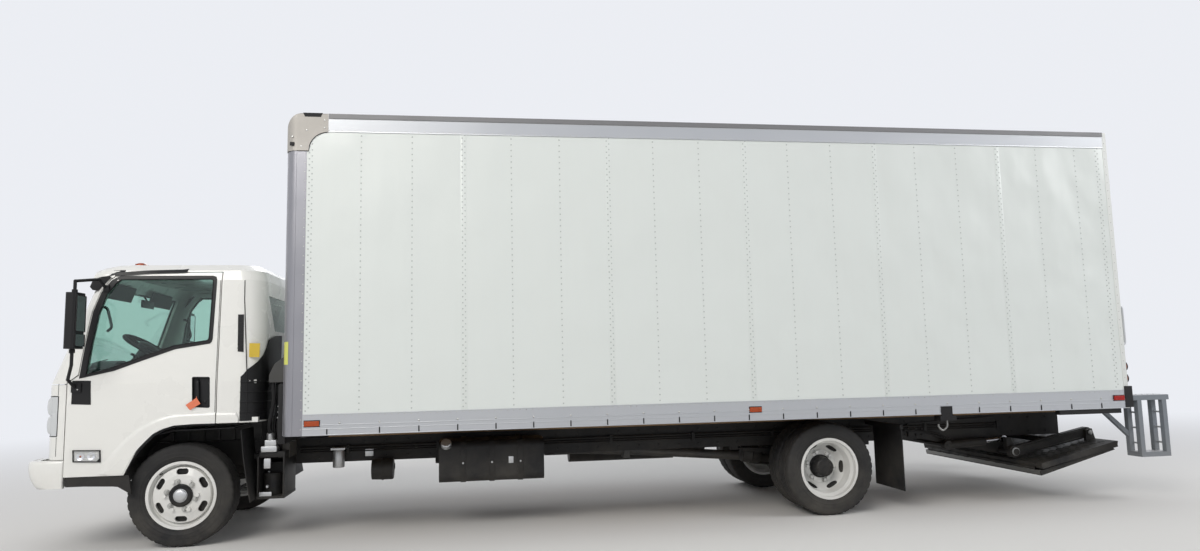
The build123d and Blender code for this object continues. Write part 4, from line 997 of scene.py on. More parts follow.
# %% Turn lamps
chrome = finish("lamp_chrome", (0.82, 0.83, 0.85), 0.3, metal=1, grain=60, bump=0.02)
lamp_housing = finish("lamp_housing", (0.55, 0.56, 0.57), 0.42, grain=160, bump=0.04)
lamp_frosted = finish("lamp_frosted", (0.6, 0.62, 0.63), 0.22, coat=0.5, grain=220, bump=0.05)
decal_blank = finish("label_blank", (0.6, 0.42, 0.03), 0.5, grain=200, bump=0.05)
tag_orange = finish("tag_orange", (0.76, 0.2, 0.1), 0.45, grain=200, bump=0.1)


def cab_lamp_set(side, sign):
    bezel = bmesh.new()
    outer = [(0.762, 0.789), (0.564, 0.783), (0.558, 0.69), (0.756, 0.698)]
    inner = [(0.75, 0.776), (0.577, 0.77), (0.572, 0.703), (0.745, 0.711)]
    side_band(bezel, dense(outer), [(p[0] * 0.5 + q[0] * 0.5, p[1] * 0.5 + q[1] * 0.5)
                                    for p, q in zip(dense(outer), dense(inner) + dense(inner)[-1:] * 4)],
              -0.001, 0.01, sign)
    keep(f"{side}_turn_bezel", bezel, plastic_black, f"{side}_door")
    lens = bmesh.new()
    add_ring_stack(lens, [on_side(dense(inner), -0.0005, sign), on_side(dense(inner), 0.0075, sign)])
    keep(f"{side}_turn_lens", lens, lens_white, f"{side}_door")
    bowl = bmesh.new()
    for x in (0.705, 0.628):
        add_lathe(bowl, [(0, 0.001), (0.012, 0.0015), (0.03, 0.005), (0.031, 0.0045), (0.012, 0.0005),
                         (0, 0)], (x, sign * 1.0185, 0.7385), (0, sign, 0), 20)
    keep(f"{side}_turn_bowls", bowl, chrome, f"{side}_door")
    bulb = bmesh.new()
    add_lathe(bulb, [(0, 0), (0.006, 0.001), (0.007, 0.004), (0, 0.0065)], (0.705, sign * 1.019, 0.7385),
              (0, sign, 0), 14)
    keep(f"{side}_turn_bulb", bulb, lens_amber, f"{side}_door")


on_both_sides(cab_lamp_set)
print("turn lamps fitted")

# %% [markdown]
# The rear is a roll-up door in a steel portal. Its slats are CAD; the hinges at every joint, the
# latch, the seals, the lamps and the blank plate are added here, since a closed roll-up door is read
# by its rows of hinges more than by anything else.


# %% Roll-up door fittings
door_x, portal_x, slat_low, slat_pitch = -8.2333, -8.2453, 1.0105, 0.3195
back = (-1, 0, 0)


def door_hinges():
    plates, pins = bmesh.new(), bmesh.new()
    for row in range(1, 7):
        z = slat_low + slat_pitch * row - 0.003
        for y in (-1.06, -0.53, 0, 0.53, 1.06):
            wide = 0.036 if abs(y) < 1 else 0.026
            for low, high in ((z - 0.052, z - 0.006), (z + 0.006, z + 0.052)):
                add_box(plates, (door_x - 0.003, y - wide, low), (door_x + 0.001, y + wide, high), 0.0012)
                for v in (y - wide + 0.012, y + wide - 0.012):
                    add_head(pins, (door_x - 0.003, v, (low + high) / 2), back, 0.0056, 0.003, 8)
            add_tube(plates, [(door_x - 0.005, y - wide, z), (door_x - 0.005, y + wide, z)], 0.0072, 10)
            add_tube(pins, [(door_x - 0.005, y - wide - 0.005, z), (door_x - 0.005, y + wide + 0.005, z)],
                     0.0036, 8)
        for k in range(42):
            y = -1.09 + 2.18 * k / 41
            add_head(pins, (door_x, y, z + 0.068), back, 0.0036, 0.0016, 6)
    keep("rear_door_hinges", plates, metal_alloy, "chassis")
    keep("rear_door_rivets", pins, metal_bolt, "chassis")


def door_latch():
    latch = bmesh.new()
    add_box(latch, (door_x - 0.004, -0.115, 1.105), (door_x + 0.001, 0.115, 1.275), 0.0015)
    add_box(latch, (door_x - 0.03, -0.02, 1.03), (door_x - 0.004, 0.02, 1.16), 0.004)
    add_box(latch, (door_x - 0.018, -0.034, 0.995), (door_x - 0.004, 0.034, 1.06), 0.003)
    add_tube(latch, rounded([(door_x - 0.012, 0, 1.15), (door_x - 0.034, 0, 1.17),
                             (door_x - 0.036, 0.085, 1.25), (door_x - 0.03, 0.1, 1.262)], 0.015), 0.0095, 10)
    add_lathe(latch, [(0, 0), (0.026, 0), (0.026, 0.01), (0.022, 0.014), (0, 0.014)],
              (door_x - 0.004, 0, 1.185), back, 24)
    for y, z in ((-0.098, 1.122), (0.098, 1.122), (-0.098, 1.258), (0.098, 1.258)):
        add_head(latch, (door_x - 0.004, y, z), back, 0.008, 0.005, 6, 0.85)
    keep("rear_door_latch", latch, metal_alloy, "chassis")
    grip = bmesh.new()
    for y in (-0.36, 0.36):
        add_tube(grip, rounded([(door_x, y - 0.075, 1.19), (door_x - 0.038, y - 0.072, 1.19),
                                (door_x - 0.038, y + 0.072, 1.19), (door_x, y + 0.075, 1.19)], 0.02),
                 0.0075, 10)
        for v in (-0.075, 0.075):
            add_lathe(grip, [(0, 0), (0.018, 0), (0.017, 0.003), (0, 0.004)], (door_x, y + v, 1.19), back, 16)
    keep("rear_door_grips", grip, plastic_black, "chassis")
    seal = bmesh.new()
    for sign in (-1, 1):
        add_slab(seal, [(portal_x + 0.001, sign * 1.1345, 1.01), (portal_x - 0.005, sign * 1.1345, 1.01),
                        (portal_x - 0.004, sign * 1.121, 1.01), (portal_x + 0.01, sign * 1.1175, 1.01),
                        (portal_x + 0.01, sign * 1.126, 1.01)], (0, 0, 2.238))
    add_slab(seal, [(portal_x + 0.001, -1.12, 3.253), (portal_x - 0.005, -1.12, 3.253),
                    (portal_x - 0.004, -1.12, 3.243), (portal_x + 0.01, -1.12, 3.24),
                    (portal_x + 0.01, -1.12, 3.247)], (0, 2.24, 0))
    add_box(seal, (door_x - 0.002, -1.118, 1.0095), (door_x + 0.018, 1.118, 1.026), 0.003)
    keep("rear_door_seals", seal, rubber_black, "chassis")


door_hinges()
door_latch()
print("roll-up door fitted")

# %% [markdown]
# Rear lamps sit in rubber rings on the posts, with three in a row on the header, and each lens has
# the fine concentric steps that scatter its light. The plate is blank, under a small lamp of its own.


# %% Rear lamps, plate and grab handles
def ringed_lamp(lens_bm, ring_bm, place, axis, radius, deep):
    """A round lens with stepped rings, in a rubber ring."""
    steps = [(0, deep)]
    for k in range(1, 6):
        r = radius * k / 6
        fall = deep * (1 - 0.35 * (k / 6) ** 2)
        steps += [(r - 0.001, fall), (r + 0.0004, fall - 0.0012)]
    steps += [(radius, deep * 0.4), (radius, 0), (0, 0)]
    add_lathe(lens_bm, steps, place, axis, 32)
    add_lathe(ring_bm, [(radius - 0.001, -0.0005), (radius + 0.01, -0.0005), (radius + 0.009, deep * 0.45),
                        (radius + 0.003, deep * 0.7), (radius - 0.001, deep * 0.5)], place, axis, 32)


def rear_lamps():
    red, amber, rings = bmesh.new(), bmesh.new(), bmesh.new()
    for sign in (-1, 1):
        for z in (1.12, 1.23):
            ringed_lamp(red, rings, (portal_x - 0.014, sign * 1.1742, z), back, 0.0365, 0.008)
        ringed_lamp(red, rings, (portal_x, sign * 1.165, 3.352), back, 0.028, 0.014)
        ringed_lamp(amber, rings, (-0.8055, sign * 1, 3.235), (1, 0, 0), 0.028, 0.014)
    for y in (-0.165, 0, 0.165):
        ringed_lamp(red, rings, (portal_x, y, 3.352), back, 0.028, 0.014)
    keep("rear_red_lenses", red, lens_red, "chassis", smooth=40)
    keep("front_clearance_lenses", amber, lens_amber, "chassis", smooth=40)
    keep("lamp_rings", rings, rubber_black, "chassis")
    reflectors = bmesh.new()
    for sign in (-1, 1):
        add_box(reflectors, (portal_x - 0.006, sign * 1.146, 0.955),
                (portal_x + 0.0005, sign * 1.204, 0.985), 0.002)
    keep("rear_reflectors", reflectors, lens_red, "chassis")


def plate_and_handles():
    plate = bmesh.new()
    x = portal_x
    add_box(plate, (x - 0.0075, -0.85, 0.87), (x - 0.0055, -0.545, 0.985), 0.0006)
    keep("rear_blank_plate", plate, plate_blank, "chassis")
    holder = bmesh.new()
    outer, inner = ([(x - 0.001, y, z) for y, z in ((y0, z0), (y1, z0), (y1, z1), (y0, z1))]
                    for y0, y1, z0, z1 in ((-0.858, -0.537, 0.862, 0.993), (-0.842, -0.553, 0.878, 0.977)))
    add_band(holder, outer, inner, (-0.005, 0, 0))
    add_box(holder, (x - 0.032, -0.735, 0.986), (x + 0.001, -0.66, 1.006), 0.004)
    keep("rear_plate_holder", holder, plastic_black, "chassis")
    handle = bmesh.new()
    for sign in (-1, 1):
        y = sign * 1.172
        add_tube(handle, rounded([(x, y, 1.42), (x - 0.052, y, 1.435), (x - 0.052, y, 1.785), (x, y, 1.8)],
                                 0.03), 0.0105, 10)
        for z in (1.42, 1.8):
            add_lathe(handle, [(0, 0), (0.026, 0), (0.025, 0.004), (0, 0.005)], (x, y, z), back, 18)
    keep("rear_grab_handles", handle, metal_alloy, "chassis")
    bolts = bmesh.new()
    for sign in (-1, 1):
        for z in [1.32 + 0.21 * k for k in range(10)]:
            add_head(bolts, (x, sign * 1.206, z), back, 0.0055, 0.003, 8)
            add_head(bolts, (x, sign * 1.142, z), back, 0.0055, 0.003, 8)
        for z in (0.885, 0.945, 1.03):
            add_head(bolts, (x - 0.034, sign * 1.2092, z), back, 0.0095, 0.006, 6, 0.85)
    for k in range(12):
        add_head(bolts, (x, -1.02 + 2.04 * k / 11, 3.415), back, 0.0055, 0.003, 8)
    keep("rear_frame_bolts", bolts, metal_bolt, "chassis")


plate_blank = finish("plate_blank", (0.7, 0.71, 0.7), 0.35, metal=0.2, grain=160, bump=0.04)
rear_lamps()
plate_and_handles()
print("rear lamps, plate and handles fitted")

# %% [markdown]
# The step frames and the liftgate's deck wear punched tread plate. Raised dashes in two directions,
# set in a checker, are cheap as real geometry: one small diamond per dash, joined into one mesh.


# %% Tread plates and step rungs
def add_tread(bm, x0, x1, y0, y1, z, pitch=0.03, long=0.011, wide=0.0035, high=0.0016):
    """Diamond dashes in alternate directions over a level rectangle."""
    nx, ny = int((x1 - x0) / pitch), int((y1 - y0) / pitch)
    for i in range(nx):
        for j in range(ny):
            cx, cy = x0 + (i + 0.5) * (x1 - x0) / nx, y0 + (j + 0.5) * (y1 - y0) / ny
            turn = radians(45 if (i + j) % 2 else -45)
            ahead, side = Vector((cos(turn), sin(turn), 0)), Vector((-sin(turn), cos(turn), 0))
            base = [Vector((cx, cy, z)) + v for v in (ahead * long, side * wide, -ahead * long, -side * wide)]
            top = [Vector((cx, cy, z + high)) + v * 0.6
                   for v in (ahead * long, side * wide, -ahead * long, -side * wide)]
            low = [p - Vector((0, 0, 0.001)) for p in base]
            add_ring_stack(bm, [low, top])


def step_treads():
    plate, tread = bmesh.new(), bmesh.new()
    for sign in (-1, 1):
        y0, y1 = (1.0292, 1.1892) if sign > 0 else (-1.1892, -1.0292)
        x1, x0 = -8.285, -8.675
        add_box(plate, (x0, y0, 0.9598), (x1, y1, 0.9632), 0.0008)
        add_tread(tread, x0 + 0.012, x1 - 0.012, y0 + 0.01, y1 - 0.01, 0.9632)
        for z in (0.52, 0.66, 0.8):
            add_tube(plate, [(-8.392, sign * 1.047, z), (-8.392, sign * 1.172, z)], 0.0085, 8)
            add_tube(plate, [(-8.63, sign * 1.047, z), (-8.63, sign * 1.172, z)], 0.0085, 8)
        add_box(plate, (-8.655, sign * 1.05, 0.4395), (-8.355, sign * 1.17, 0.4432), 0.0008)
        add_tread(tread, -8.65, -8.36, *sorted((sign * 1.054, sign * 1.166)), 0.4432)
    keep("step_plates", plate, metal_alloy, "chassis")
    keep("step_tread", tread, metal_alloy, "chassis", smooth=20)


step_treads()
print("step frames finished")

# %% [markdown]
# Roof: five amber marker lamps on the cab, and on the body sheet seams with rivets. The cab's lamps
# in CAD are plain blocks, so each gets a moulded lens over a black foot.


# %% Cab roof markers and roof seams
def roof_markers():
    lens, foot = bmesh.new(), bmesh.new()
    x, z, power = 0.465, 2.246, 0.6
    for y in (-0.64, -0.18, 0, 0.18, 0.64):
        add_box(foot, (x - 0.048, y - 0.058, z - 0.006), (x + 0.048, y + 0.058, z + 0.008), 0.004)
        add_ring_stack(lens, [
            [(x + 0.041 * grow * abs(c) ** power * (1 if c > 0 else -1),
              y + 0.051 * grow * abs(s) ** power * (1 if s > 0 else -1), z + up) for c, s in turns(20)]
            for grow, up in ((1, 0.006), (0.98, 0.022), (0.86, 0.034), (0.6, 0.041), (0.2, 0.043))])
    keep("cab_marker_lenses", lens, lens_amber, "cab", smooth=50)
    keep("cab_marker_feet", foot, plastic_black, "cab")


def roof_seams():
    rivets = bmesh.new()
    z, crown, flat, seam_pitch = 3.4317, 0.022, 1.1542, 1.2192
    for x in [-1.36 - seam_pitch * k for k in range(6)]:
        for k in range(45):
            y = -1.12 + 2.24 * k / 44
            add_head(rivets, (x, y, z + crown * (1 - abs(y) / flat)), (0, 0, 1), 0.0052, 0.0026, 6)
    keep("roof_rivets", rivets, metal_bolt, "chassis", smooth=80)
    laps = bmesh.new()
    for x in [-1.345 - seam_pitch * k for k in range(6)]:
        for sign in (-1, 1):
            add_ring_stack(laps, [[(x, y, low), (x - 0.034, y, low), (x - 0.034, y, low + 0.0016),
                                   (x, y, low + 0.0016)] for y, low in ((0, z + crown), (sign * flat, z))])
    keep("roof_laps", laps, metal_rail, "chassis")


roof_markers()
roof_seams()
print("roofs finished")

# %% [markdown]
# Upholstery is the one soft thing on a truck. Subdividing a box gives a pillow, but foam under cloth
# bulges between its stitch lines in a way that is easier to simulate than to sculpt. So each pad
# starts as a flat-topped shell whose base and stitch lines are pinned, a cloth run with a little
# inner pressure lifts what lies between, and the settled shape is kept as a plain mesh.


# %% Seat pads from a short cloth run
def pad_shell(bm, origin, across, along, size, seams_u, seams_v, count=24):
    """A closed pad on a base plane. Returns its pinned points, its stitch lines and its up direction."""
    across, along = Vector(across).normalized(), Vector(along).normalized()
    up = across.cross(along)
    origin = Vector((AXLE + origin[0], origin[1], origin[2]))
    wide, long, thick = size
    first_u, last_u = min(seams_u or (1,)), max(seams_u or (count - 1,))
    start, pinned, grid = len(bm.verts), [], {}
    for layer in (0, 1):
        for i in range(count + 1):
            for j in range(count + 1):
                u, v = 2 * i / count - 1, 2 * j / count - 1
                shrink = 1 - 0.035 * (1 - layer) - 0.05 * min(abs(u), abs(v)) ** 12
                fall = 0.3 * max(abs(u), abs(v)) ** 10
                crossing = i in seams_u and 1 < j < count - 1
                running = j in seams_v and first_u <= i <= last_u
                stitch = layer and (crossing or running)
                high = layer * (thick * (1 - fall) - (0.016 if stitch else 0))
                spot = origin + across * (u * wide / 2 * shrink) + along * (v * long / 2 * shrink) + up * high
                grid[layer, i, j] = bm.verts.new(spot)
                if not layer or stitch:
                    pinned.append(start + len(grid) - 1)
    for i in range(count):
        for j in range(count):
            bm.faces.new((grid[0, i, j], grid[0, i, j + 1], grid[0, i + 1, j + 1], grid[0, i + 1, j]))
            bm.faces.new((grid[1, i, j], grid[1, i + 1, j], grid[1, i + 1, j + 1], grid[1, i, j + 1]))
    rim = [(i, 0) for i in range(count)] + [(count, j) for j in range(count)]
    rim += [(i, count) for i in range(count, 0, -1)] + [(0, j) for j in range(count, 0, -1)]
    for (a, b), (c, d) in zip(rim, rim[1:] + rim[:1]):
        bm.faces.new((grid[0, a, b], grid[0, c, d], grid[1, c, d], grid[1, a, b]))

    def stitch_line(spots):
        return [start + (count + 1) ** 2 + i * (count + 1) + j for i, j in spots]

    lines = [stitch_line((i, j) for j in range(2, count - 1)) for i in seams_u]
    lines += [stitch_line((i, j) for i in range(first_u, last_u + 1)) for j in seams_v]
    return pinned, lines + [stitch_line(rim + rim[:1])], up


def puffed(name, pads, body, pressure=2.2, frames=14):
    """Runs the cloth on a set of pads and keeps the settled mesh, with piping on its stitch lines."""
    bm = bmesh.new()
    pinned, routes = [], []
    for pad in pads:
        stuck, lines, up = pad_shell(bm, *pad)
        pinned += stuck
        routes += [(route, up) for route in lines]
    bmesh.ops.recalc_face_normals(bm, faces=bm.faces)
    mesh = bpy.data.meshes.new(name)
    bm.to_mesh(mesh)
    bm.free()
    seat = bpy.data.objects.new(name, mesh)
    bpy.context.collection.objects.link(seat)
    held = seat.vertex_groups.new(name="held")
    held.add(pinned, 1, "REPLACE")
    cloth = seat.modifiers.new("cloth", "CLOTH").settings
    cloth.quality, cloth.mass, cloth.air_damping = 6, 0.25, 4
    cloth.tension_stiffness = cloth.compression_stiffness = 18
    cloth.shear_stiffness, cloth.bending_stiffness = 6, 0.6
    cloth.use_pressure, cloth.uniform_pressure_force = True, pressure
    cloth.effector_weights.gravity = 0
    cloth.vertex_group_mass = "held"
    for frame_number in range(1, frames + 1):
        bpy.context.scene.frame_set(frame_number)
    settled = bpy.data.meshes.new_from_object(seat.evaluated_get(bpy.context.evaluated_depsgraph_get()))
    seat.modifiers.clear()
    seat.data = settled
    moved = max((a.co - b.co).length for a, b in zip(mesh.vertices, settled.vertices))
    bpy.data.meshes.remove(mesh)
    bpy.context.scene.frame_set(1)
    settled.shade_smooth()
    settled.materials.clear()
    settled.materials.append(cloth_seat)
    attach(seat, body)
    piping = bmesh.new()
    for route, up in routes:
        add_tube(piping, [settled.vertices[k].co - Vector((AXLE, 0, 0)) + up * 0.0012 for k in route],
                 0.0032, 6)
    keep(f"{name}_piping", piping, rubber_black, body)
    print(name, len(settled.vertices), "points, cloth rose up to", round(moved * 1000, 1), "mm")
    return seat


lean_x, lean_z = -0.12, 0.58
lean = Vector((lean_x, 0, lean_z)).normalized()


def seat_pads(y, wide, heads):
    """Cushion, backrest and head restraints of one seat, as pad arguments."""
    cushion = ((-0.075, y, 1.292), (0, -1, 0), (1, 0, 0), (wide, 0.545, 0.108), (5, 19), (10,))
    rest = ((-0.402, y, 1.69), (0, 1, 0), tuple(lean), (wide * 0.98, 0.575, 0.098), (5, 19), (9, 16))
    pads = [cushion, rest]
    for spot in heads:
        pads.append(((-0.472, spot, 2.052), (0, 1, 0), tuple(lean), (0.245, 0.135, 0.08), (), ()))
    return pads


driver = puffed("driver_seat_pads", seat_pads(0.52, 0.505, (0.52,)), "cab")
puffed("bench_seat_pads", seat_pads(-0.11, 0.43, (-0.11,)) + seat_pads(-0.545, 0.43, (-0.545,)), "cab")
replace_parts(driver, "seats")
print("seat pads settled")

# %% [markdown]
# The hard parts of the seats carry the pads: plinths on the floor, slides, back shells behind the
# cloth, and the posts of the head restraints.


# %% Seat shells and posts
def seat_shells():
    """Hard parts of the seats: plinths, back shells, slides, posts and a recliner knob."""
    bm = bmesh.new()
    driver_seat = (0.52, 0.235, 0.354, 1.0005, (0.52,))
    bench = (-0.328, 0.415, -0.743, 1.1805, (-0.11, -0.545))
    for y, half, inner_end, low, heads in (driver_seat, bench):
        add_box(bm, (-0.325, inner_end, low), (0.15, y + half, 1.29), 0.012)
        for sign in (-1, 1):
            slide = y + sign * (half + 0.002)
            add_box(bm, (-0.33, slide - 0.012, 1.262), (0.165, slide + 0.012, 1.312), 0.008)
        foot, top = Vector((-0.352, y, 1.385)), Vector((-0.472, y, 1.965))
        outline = [(foot.x, y - half, foot.z), (foot.x, y + half, foot.z), (top.x, y + half, top.z - 0.05),
                   (top.x, y + half - 0.05, top.z), (top.x, y - half + 0.05, top.z),
                   (top.x, y - half, top.z - 0.05)]
        add_slab(bm, outline, (-0.045, 0, -0.01))
        for spot in heads:
            for gap in (-0.045, 0.045):
                add_tube(bm, [(-0.452, spot + gap, 1.93), (-0.478, spot + gap, 2.03)], 0.006, 8)
    add_lathe(bm, [(0, 0), (0.034, 0), (0.036, 0.006), (0.034, 0.02), (0.028, 0.026), (0, 0.026)],
              (-0.31, 0.762, 1.34), (0, 1, 0), 24)
    for y in (0.3, 0.062, -0.33):
        add_box(bm, (-0.3, y - 0.014, 1.3), (-0.258, y + 0.014, 1.432), 0.006)
    keep("seat_shells", bm, plastic_dash, "cab")


seat_shells()
print("seats finished")

# %% [markdown]
# The cab's room shows through two big windows, so it gets what a driver touches, the steering wheel
# first: a blank centre pad, stalks, and a rim with four grips. None of it needs more than turned
# rings and tubes, if the sizes are right.


# %% Steering wheel
wheel_axis = Vector((-110, 0, 180)).normalized()
wheel_centre = Vector((0.44, 0.5, 1.58))


def steering_wheel():
    hub = bmesh.new()
    add_lathe(hub, [(0, 0.03), (0.06, 0.028), (0.078, 0.022), (0.086, 0.008), (0.084, -0.012),
                    (0.06, -0.03), (0, -0.03)], wheel_centre, wheel_axis, 32)
    add_lathe(hub, [(0.05, -0.03), (0.056, -0.036), (0.066, -0.235), (0.062, -0.245), (0, -0.245),
                    (0, -0.03)], wheel_centre, wheel_axis, 24)
    for sign in (-1, 1):
        root = wheel_centre - wheel_axis * 0.1 + Vector((0, sign * 0.05, 0))
        add_tube(hub, rounded([root, root + Vector((0, sign * 0.09, 0.004)),
                               root + wheel_axis * 0.02 + Vector((0, sign * 0.155, 0.012))], 0.02), 0.0075, 8)
        add_tube(hub, [root + wheel_axis * 0.0185 + Vector((0, sign * 0.142, 0.011)),
                       root + wheel_axis * 0.02 + Vector((0, sign * 0.176, 0.013))], 0.011, 10)
    keep("steering_hub", hub, plastic_black, "cab")
    grip = bmesh.new()
    side, up = Vector((0, 1, 0)), wheel_axis.cross(Vector((0, 1, 0)))
    rim_radius, rim_thick = 0.205, 0.0148

    def on_rim(angle, radius=rim_radius):
        return wheel_centre + radius * (cos(radians(angle)) * side + sin(radians(angle)) * up)

    for start in (20, 110, 200, 290):
        add_tube(grip, [on_rim(start + 5 * k) for k in range(11)], 0.0168, 12)
    spots = [c * side + s * up for c, s in turns(64)]
    add_ring_stack(grip, [[wheel_centre + out * (rim_radius + rim_thick * c) + wheel_axis * rim_thick * s
                           for c, s in turns(10)] for out in spots], close_loop=True)
    for angle in (0, 180, 262, 278):
        rim = on_rim(angle, 0.2)
        middle = wheel_centre * 0.4 + rim * 0.6 - wheel_axis * 0.01
        add_tube(grip, [wheel_centre - wheel_axis * 0.006, middle, rim], 0.011, 8)
    keep("steering_grips", grip, rubber_black, "cab")


steering_wheel()
print("steering wheel at", [round(v, 2) for v in wheel_centre])

# %% [markdown]
# The dashboard's back is one profile carried across the cab, with a hood over the dials. Its box from
# CAD is plain, so this moulding stands for it. Vents and keys are thin dark bars, and the dials have
# rings, ticks and needles but no figures.


# %% Dashboard and dials
def dashboard():
    dash = bmesh.new()
    profile = [(0.8797, 1.14), (0.8797, 1.385), (0.8, 1.402), (0.68, 1.412), (0.655, 1.408), (0.628, 1.39),
               (0.613, 1.368), (0.6, 1.27), (0.608, 1.235), (0.64, 1.14)]
    add_ring_stack(dash, [[(0.74 + (x - 0.74) * s, y, 1.27 + (z - 1.27) * s) for x, z in profile]
                          for y, s in ((-0.88, 0.97), (-0.87, 1), (0.87, 1), (0.88, 0.97))])
    half_turn = range(0, 181, 12)
    hood, inner = arc((0.5, 1.392), 0.205, 0.085, half_turn), arc((0.5, 1.392), 0.19, 0.072, half_turn)
    sections = ((0.815, hood), (0.642, hood), (0.632, inner), (0.805, inner))
    rings = [[(x, y, z) for y, z in rim] for x, rim in sections]
    rows = [[dash.verts.new(p) for p in ring] for ring in rings]
    for a, b in zip(rows, rows[1:] + rows[:1]):
        for i in range(len(a) - 1):
            dash.faces.new((a[i], a[i + 1], b[i + 1], b[i]))
    for k in (0, -1):
        dash.faces.new([row[k] for row in rows])
    add_box(dash, (0.592, -0.16, 1.215), (0.64, 0.22, 1.375), 0.01)
    add_box(dash, (0.585, -0.15, 1.12), (0.66, 0.21, 1.205), 0.008)
    add_box(dash, (0.598, -0.8, 1.18), (0.64, -0.26, 1.34), 0.01)
    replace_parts(keep("dash_mouldings", dash, plastic_dash, "cab"), "dashboard")
    dark = bmesh.new()
    add_slab(dark, [(0.803, y, z) for y, z in arc((0.5, 1.396), 0.188, 0.066, half_turn)], (-0.004, 0, 0))
    for y, z in ((-0.06, 1.335), (0.13, 1.335)):
        for k in range(5):
            low = z - 0.026 + k * 0.012
            add_box(dark, (0.586, y - 0.062, low), (0.594, y + 0.062, low + 0.005), 0.001)
    add_box(dark, (0.588, -0.1, 1.235), (0.594, 0.165, 1.29), 0.002)
    for y in (-0.8, 0.8):
        for k in range(5):
            x, low = 0.596 + 0.001 * k, 1.295 + k * 0.012
            add_box(dark, (x, y - 0.055, low), (x + 0.01, y + 0.055, low + 0.005), 0.001)
    for k in range(3):
        add_lathe(dark, [(0, 0.018), (0.013, 0.017), (0.015, 0.004), (0.019, 0), (0, 0)],
                  (0.585, -0.07 + 0.1 * k, 1.165), back, 18)
    keep("dash_dark_parts", dark, plastic_black, "cab")
    dials = bmesh.new()
    for y, needle_turn in ((0.425, -50), (0.575, 40)):
        add_lathe(dials, [(0.046, 0), (0.049, 0), (0.049, 0.004), (0.046, 0.004)], (0.799, y, 1.424), back,
                  32)
        add_box(dials, (0.7965, y - 0.0012, 1.422), (0.798, y + 0.0012, 1.46), 0,
                Matrix.Rotation(radians(needle_turn), 4, "X"), (0.798, y, 1.424))
        for ty, tz in arc((y, 1.424), 0.04, 0.04, range(-40, 221, 26)):
            add_box(dials, (0.7975, ty - 0.0011, tz - 0.0011), (0.7992, ty + 0.0011, tz + 0.0011))
    keep("dash_dials", dials, decal_white, "cab")


decal_white = finish("dial_white", (0.8, 0.8, 0.78), 0.5, grain=200, bump=0.02)
dashboard()
print("dashboard and dials built")

# %% [markdown]
# Levers, pedals, mats, linings and door trims fill the rest of the room. The mats are ribbed, the
# visors are folded up under the roof, and the door cards follow the doors' inner skin.


# %% Levers, mats, linings and door trims
def cab_room():
    bm = bmesh.new()
    lever = rounded([(0.33, 0.16, 1.175), (0.3, 0.16, 1.3), (0.27, 0.18, 1.425)], 0.04)
    add_tube(bm, lever, 0.008, 8)
    add_lathe(bm, [(0, -0.03), (0.014, -0.028), (0.024, -0.008), (0.026, 0.01), (0.019, 0.026), (0, 0.03)],
              lever[-1], (-0.2, 0.1, 1), 20)
    add_lathe(bm, [(0.075, 0), (0.07, 0.018), (0.05, 0.05), (0.03, 0.072), (0.012, 0.08), (0, 0.08),
                   (0, 0)], (0.33, 0.16, 1.179), (0, 0, 1), 20)
    add_tube(bm, rounded([(0.06, 0.3, 1.182), (-0.02, 0.3, 1.235), (0.2, 0.3, 1.3)], 0.02), 0.01, 8)
    for y, wide in ((0.4, 0.022), (0.52, 0.035), (0.64, 0.035)):
        add_tube(bm, [(0.845, y, 1.135), (0.77, y, 1.085)], 0.007, 8)
        add_box(bm, (0.745, y - wide, 1.055), (0.76, y + wide, 1.105), 0.004,
                Matrix.Rotation(radians(30), 4, "Y"), (0.752, y, 1.08))
    keep("cab_levers_and_pedals", bm, plastic_black, "cab")
    mats = bmesh.new()
    for y0, y1 in ((0.375, 0.915), (-0.915, -0.375)):
        add_box(mats, (-0.18, y0, 1.0002), (0.845, y1, 1.0075), 0.003)
        for k in range(16):
            y = y0 + 0.03 + (y1 - y0 - 0.06) * k / 15
            add_box(mats, (-0.15, y - 0.004, 1.007), (0.74, y + 0.004, 1.0105), 0.001)
    keep("cab_floor_mats", mats, rubber_black, "cab")
    lining = bmesh.new()
    add_box(lining, (-0.52, -0.8, 1.202), (-0.5, 0.8, 1.69), 0.008)
    for sign in (-1, 1):
        add_box(lining, (0.668, sign * 0.19, 1.985), (0.684, sign * 0.72, 2.12), 0.006,
                Matrix.Rotation(radians(-20), 4, "Y"), (0.676, 0, 2.12))
        add_tube(lining, rounded([(0.648, sign * 0.915, 1.905), (0.608, sign * 0.9, 1.895),
                                  (0.568, sign * 0.9, 1.735), (0.596, sign * 0.92, 1.705)], 0.03), 0.011, 10)
    keep("cab_lining_and_visors", lining, plastic_dash, "cab")
    mirror = bmesh.new()
    add_box(mirror, (0.64, -0.125, 1.955), (0.662, 0.125, 2.025), 0.008)
    add_tube(mirror, [(0.655, 0, 2.02), (0.69, 0, 2.075)], 0.008, 8)
    keep("cab_inner_mirror", mirror, plastic_black, "cab")


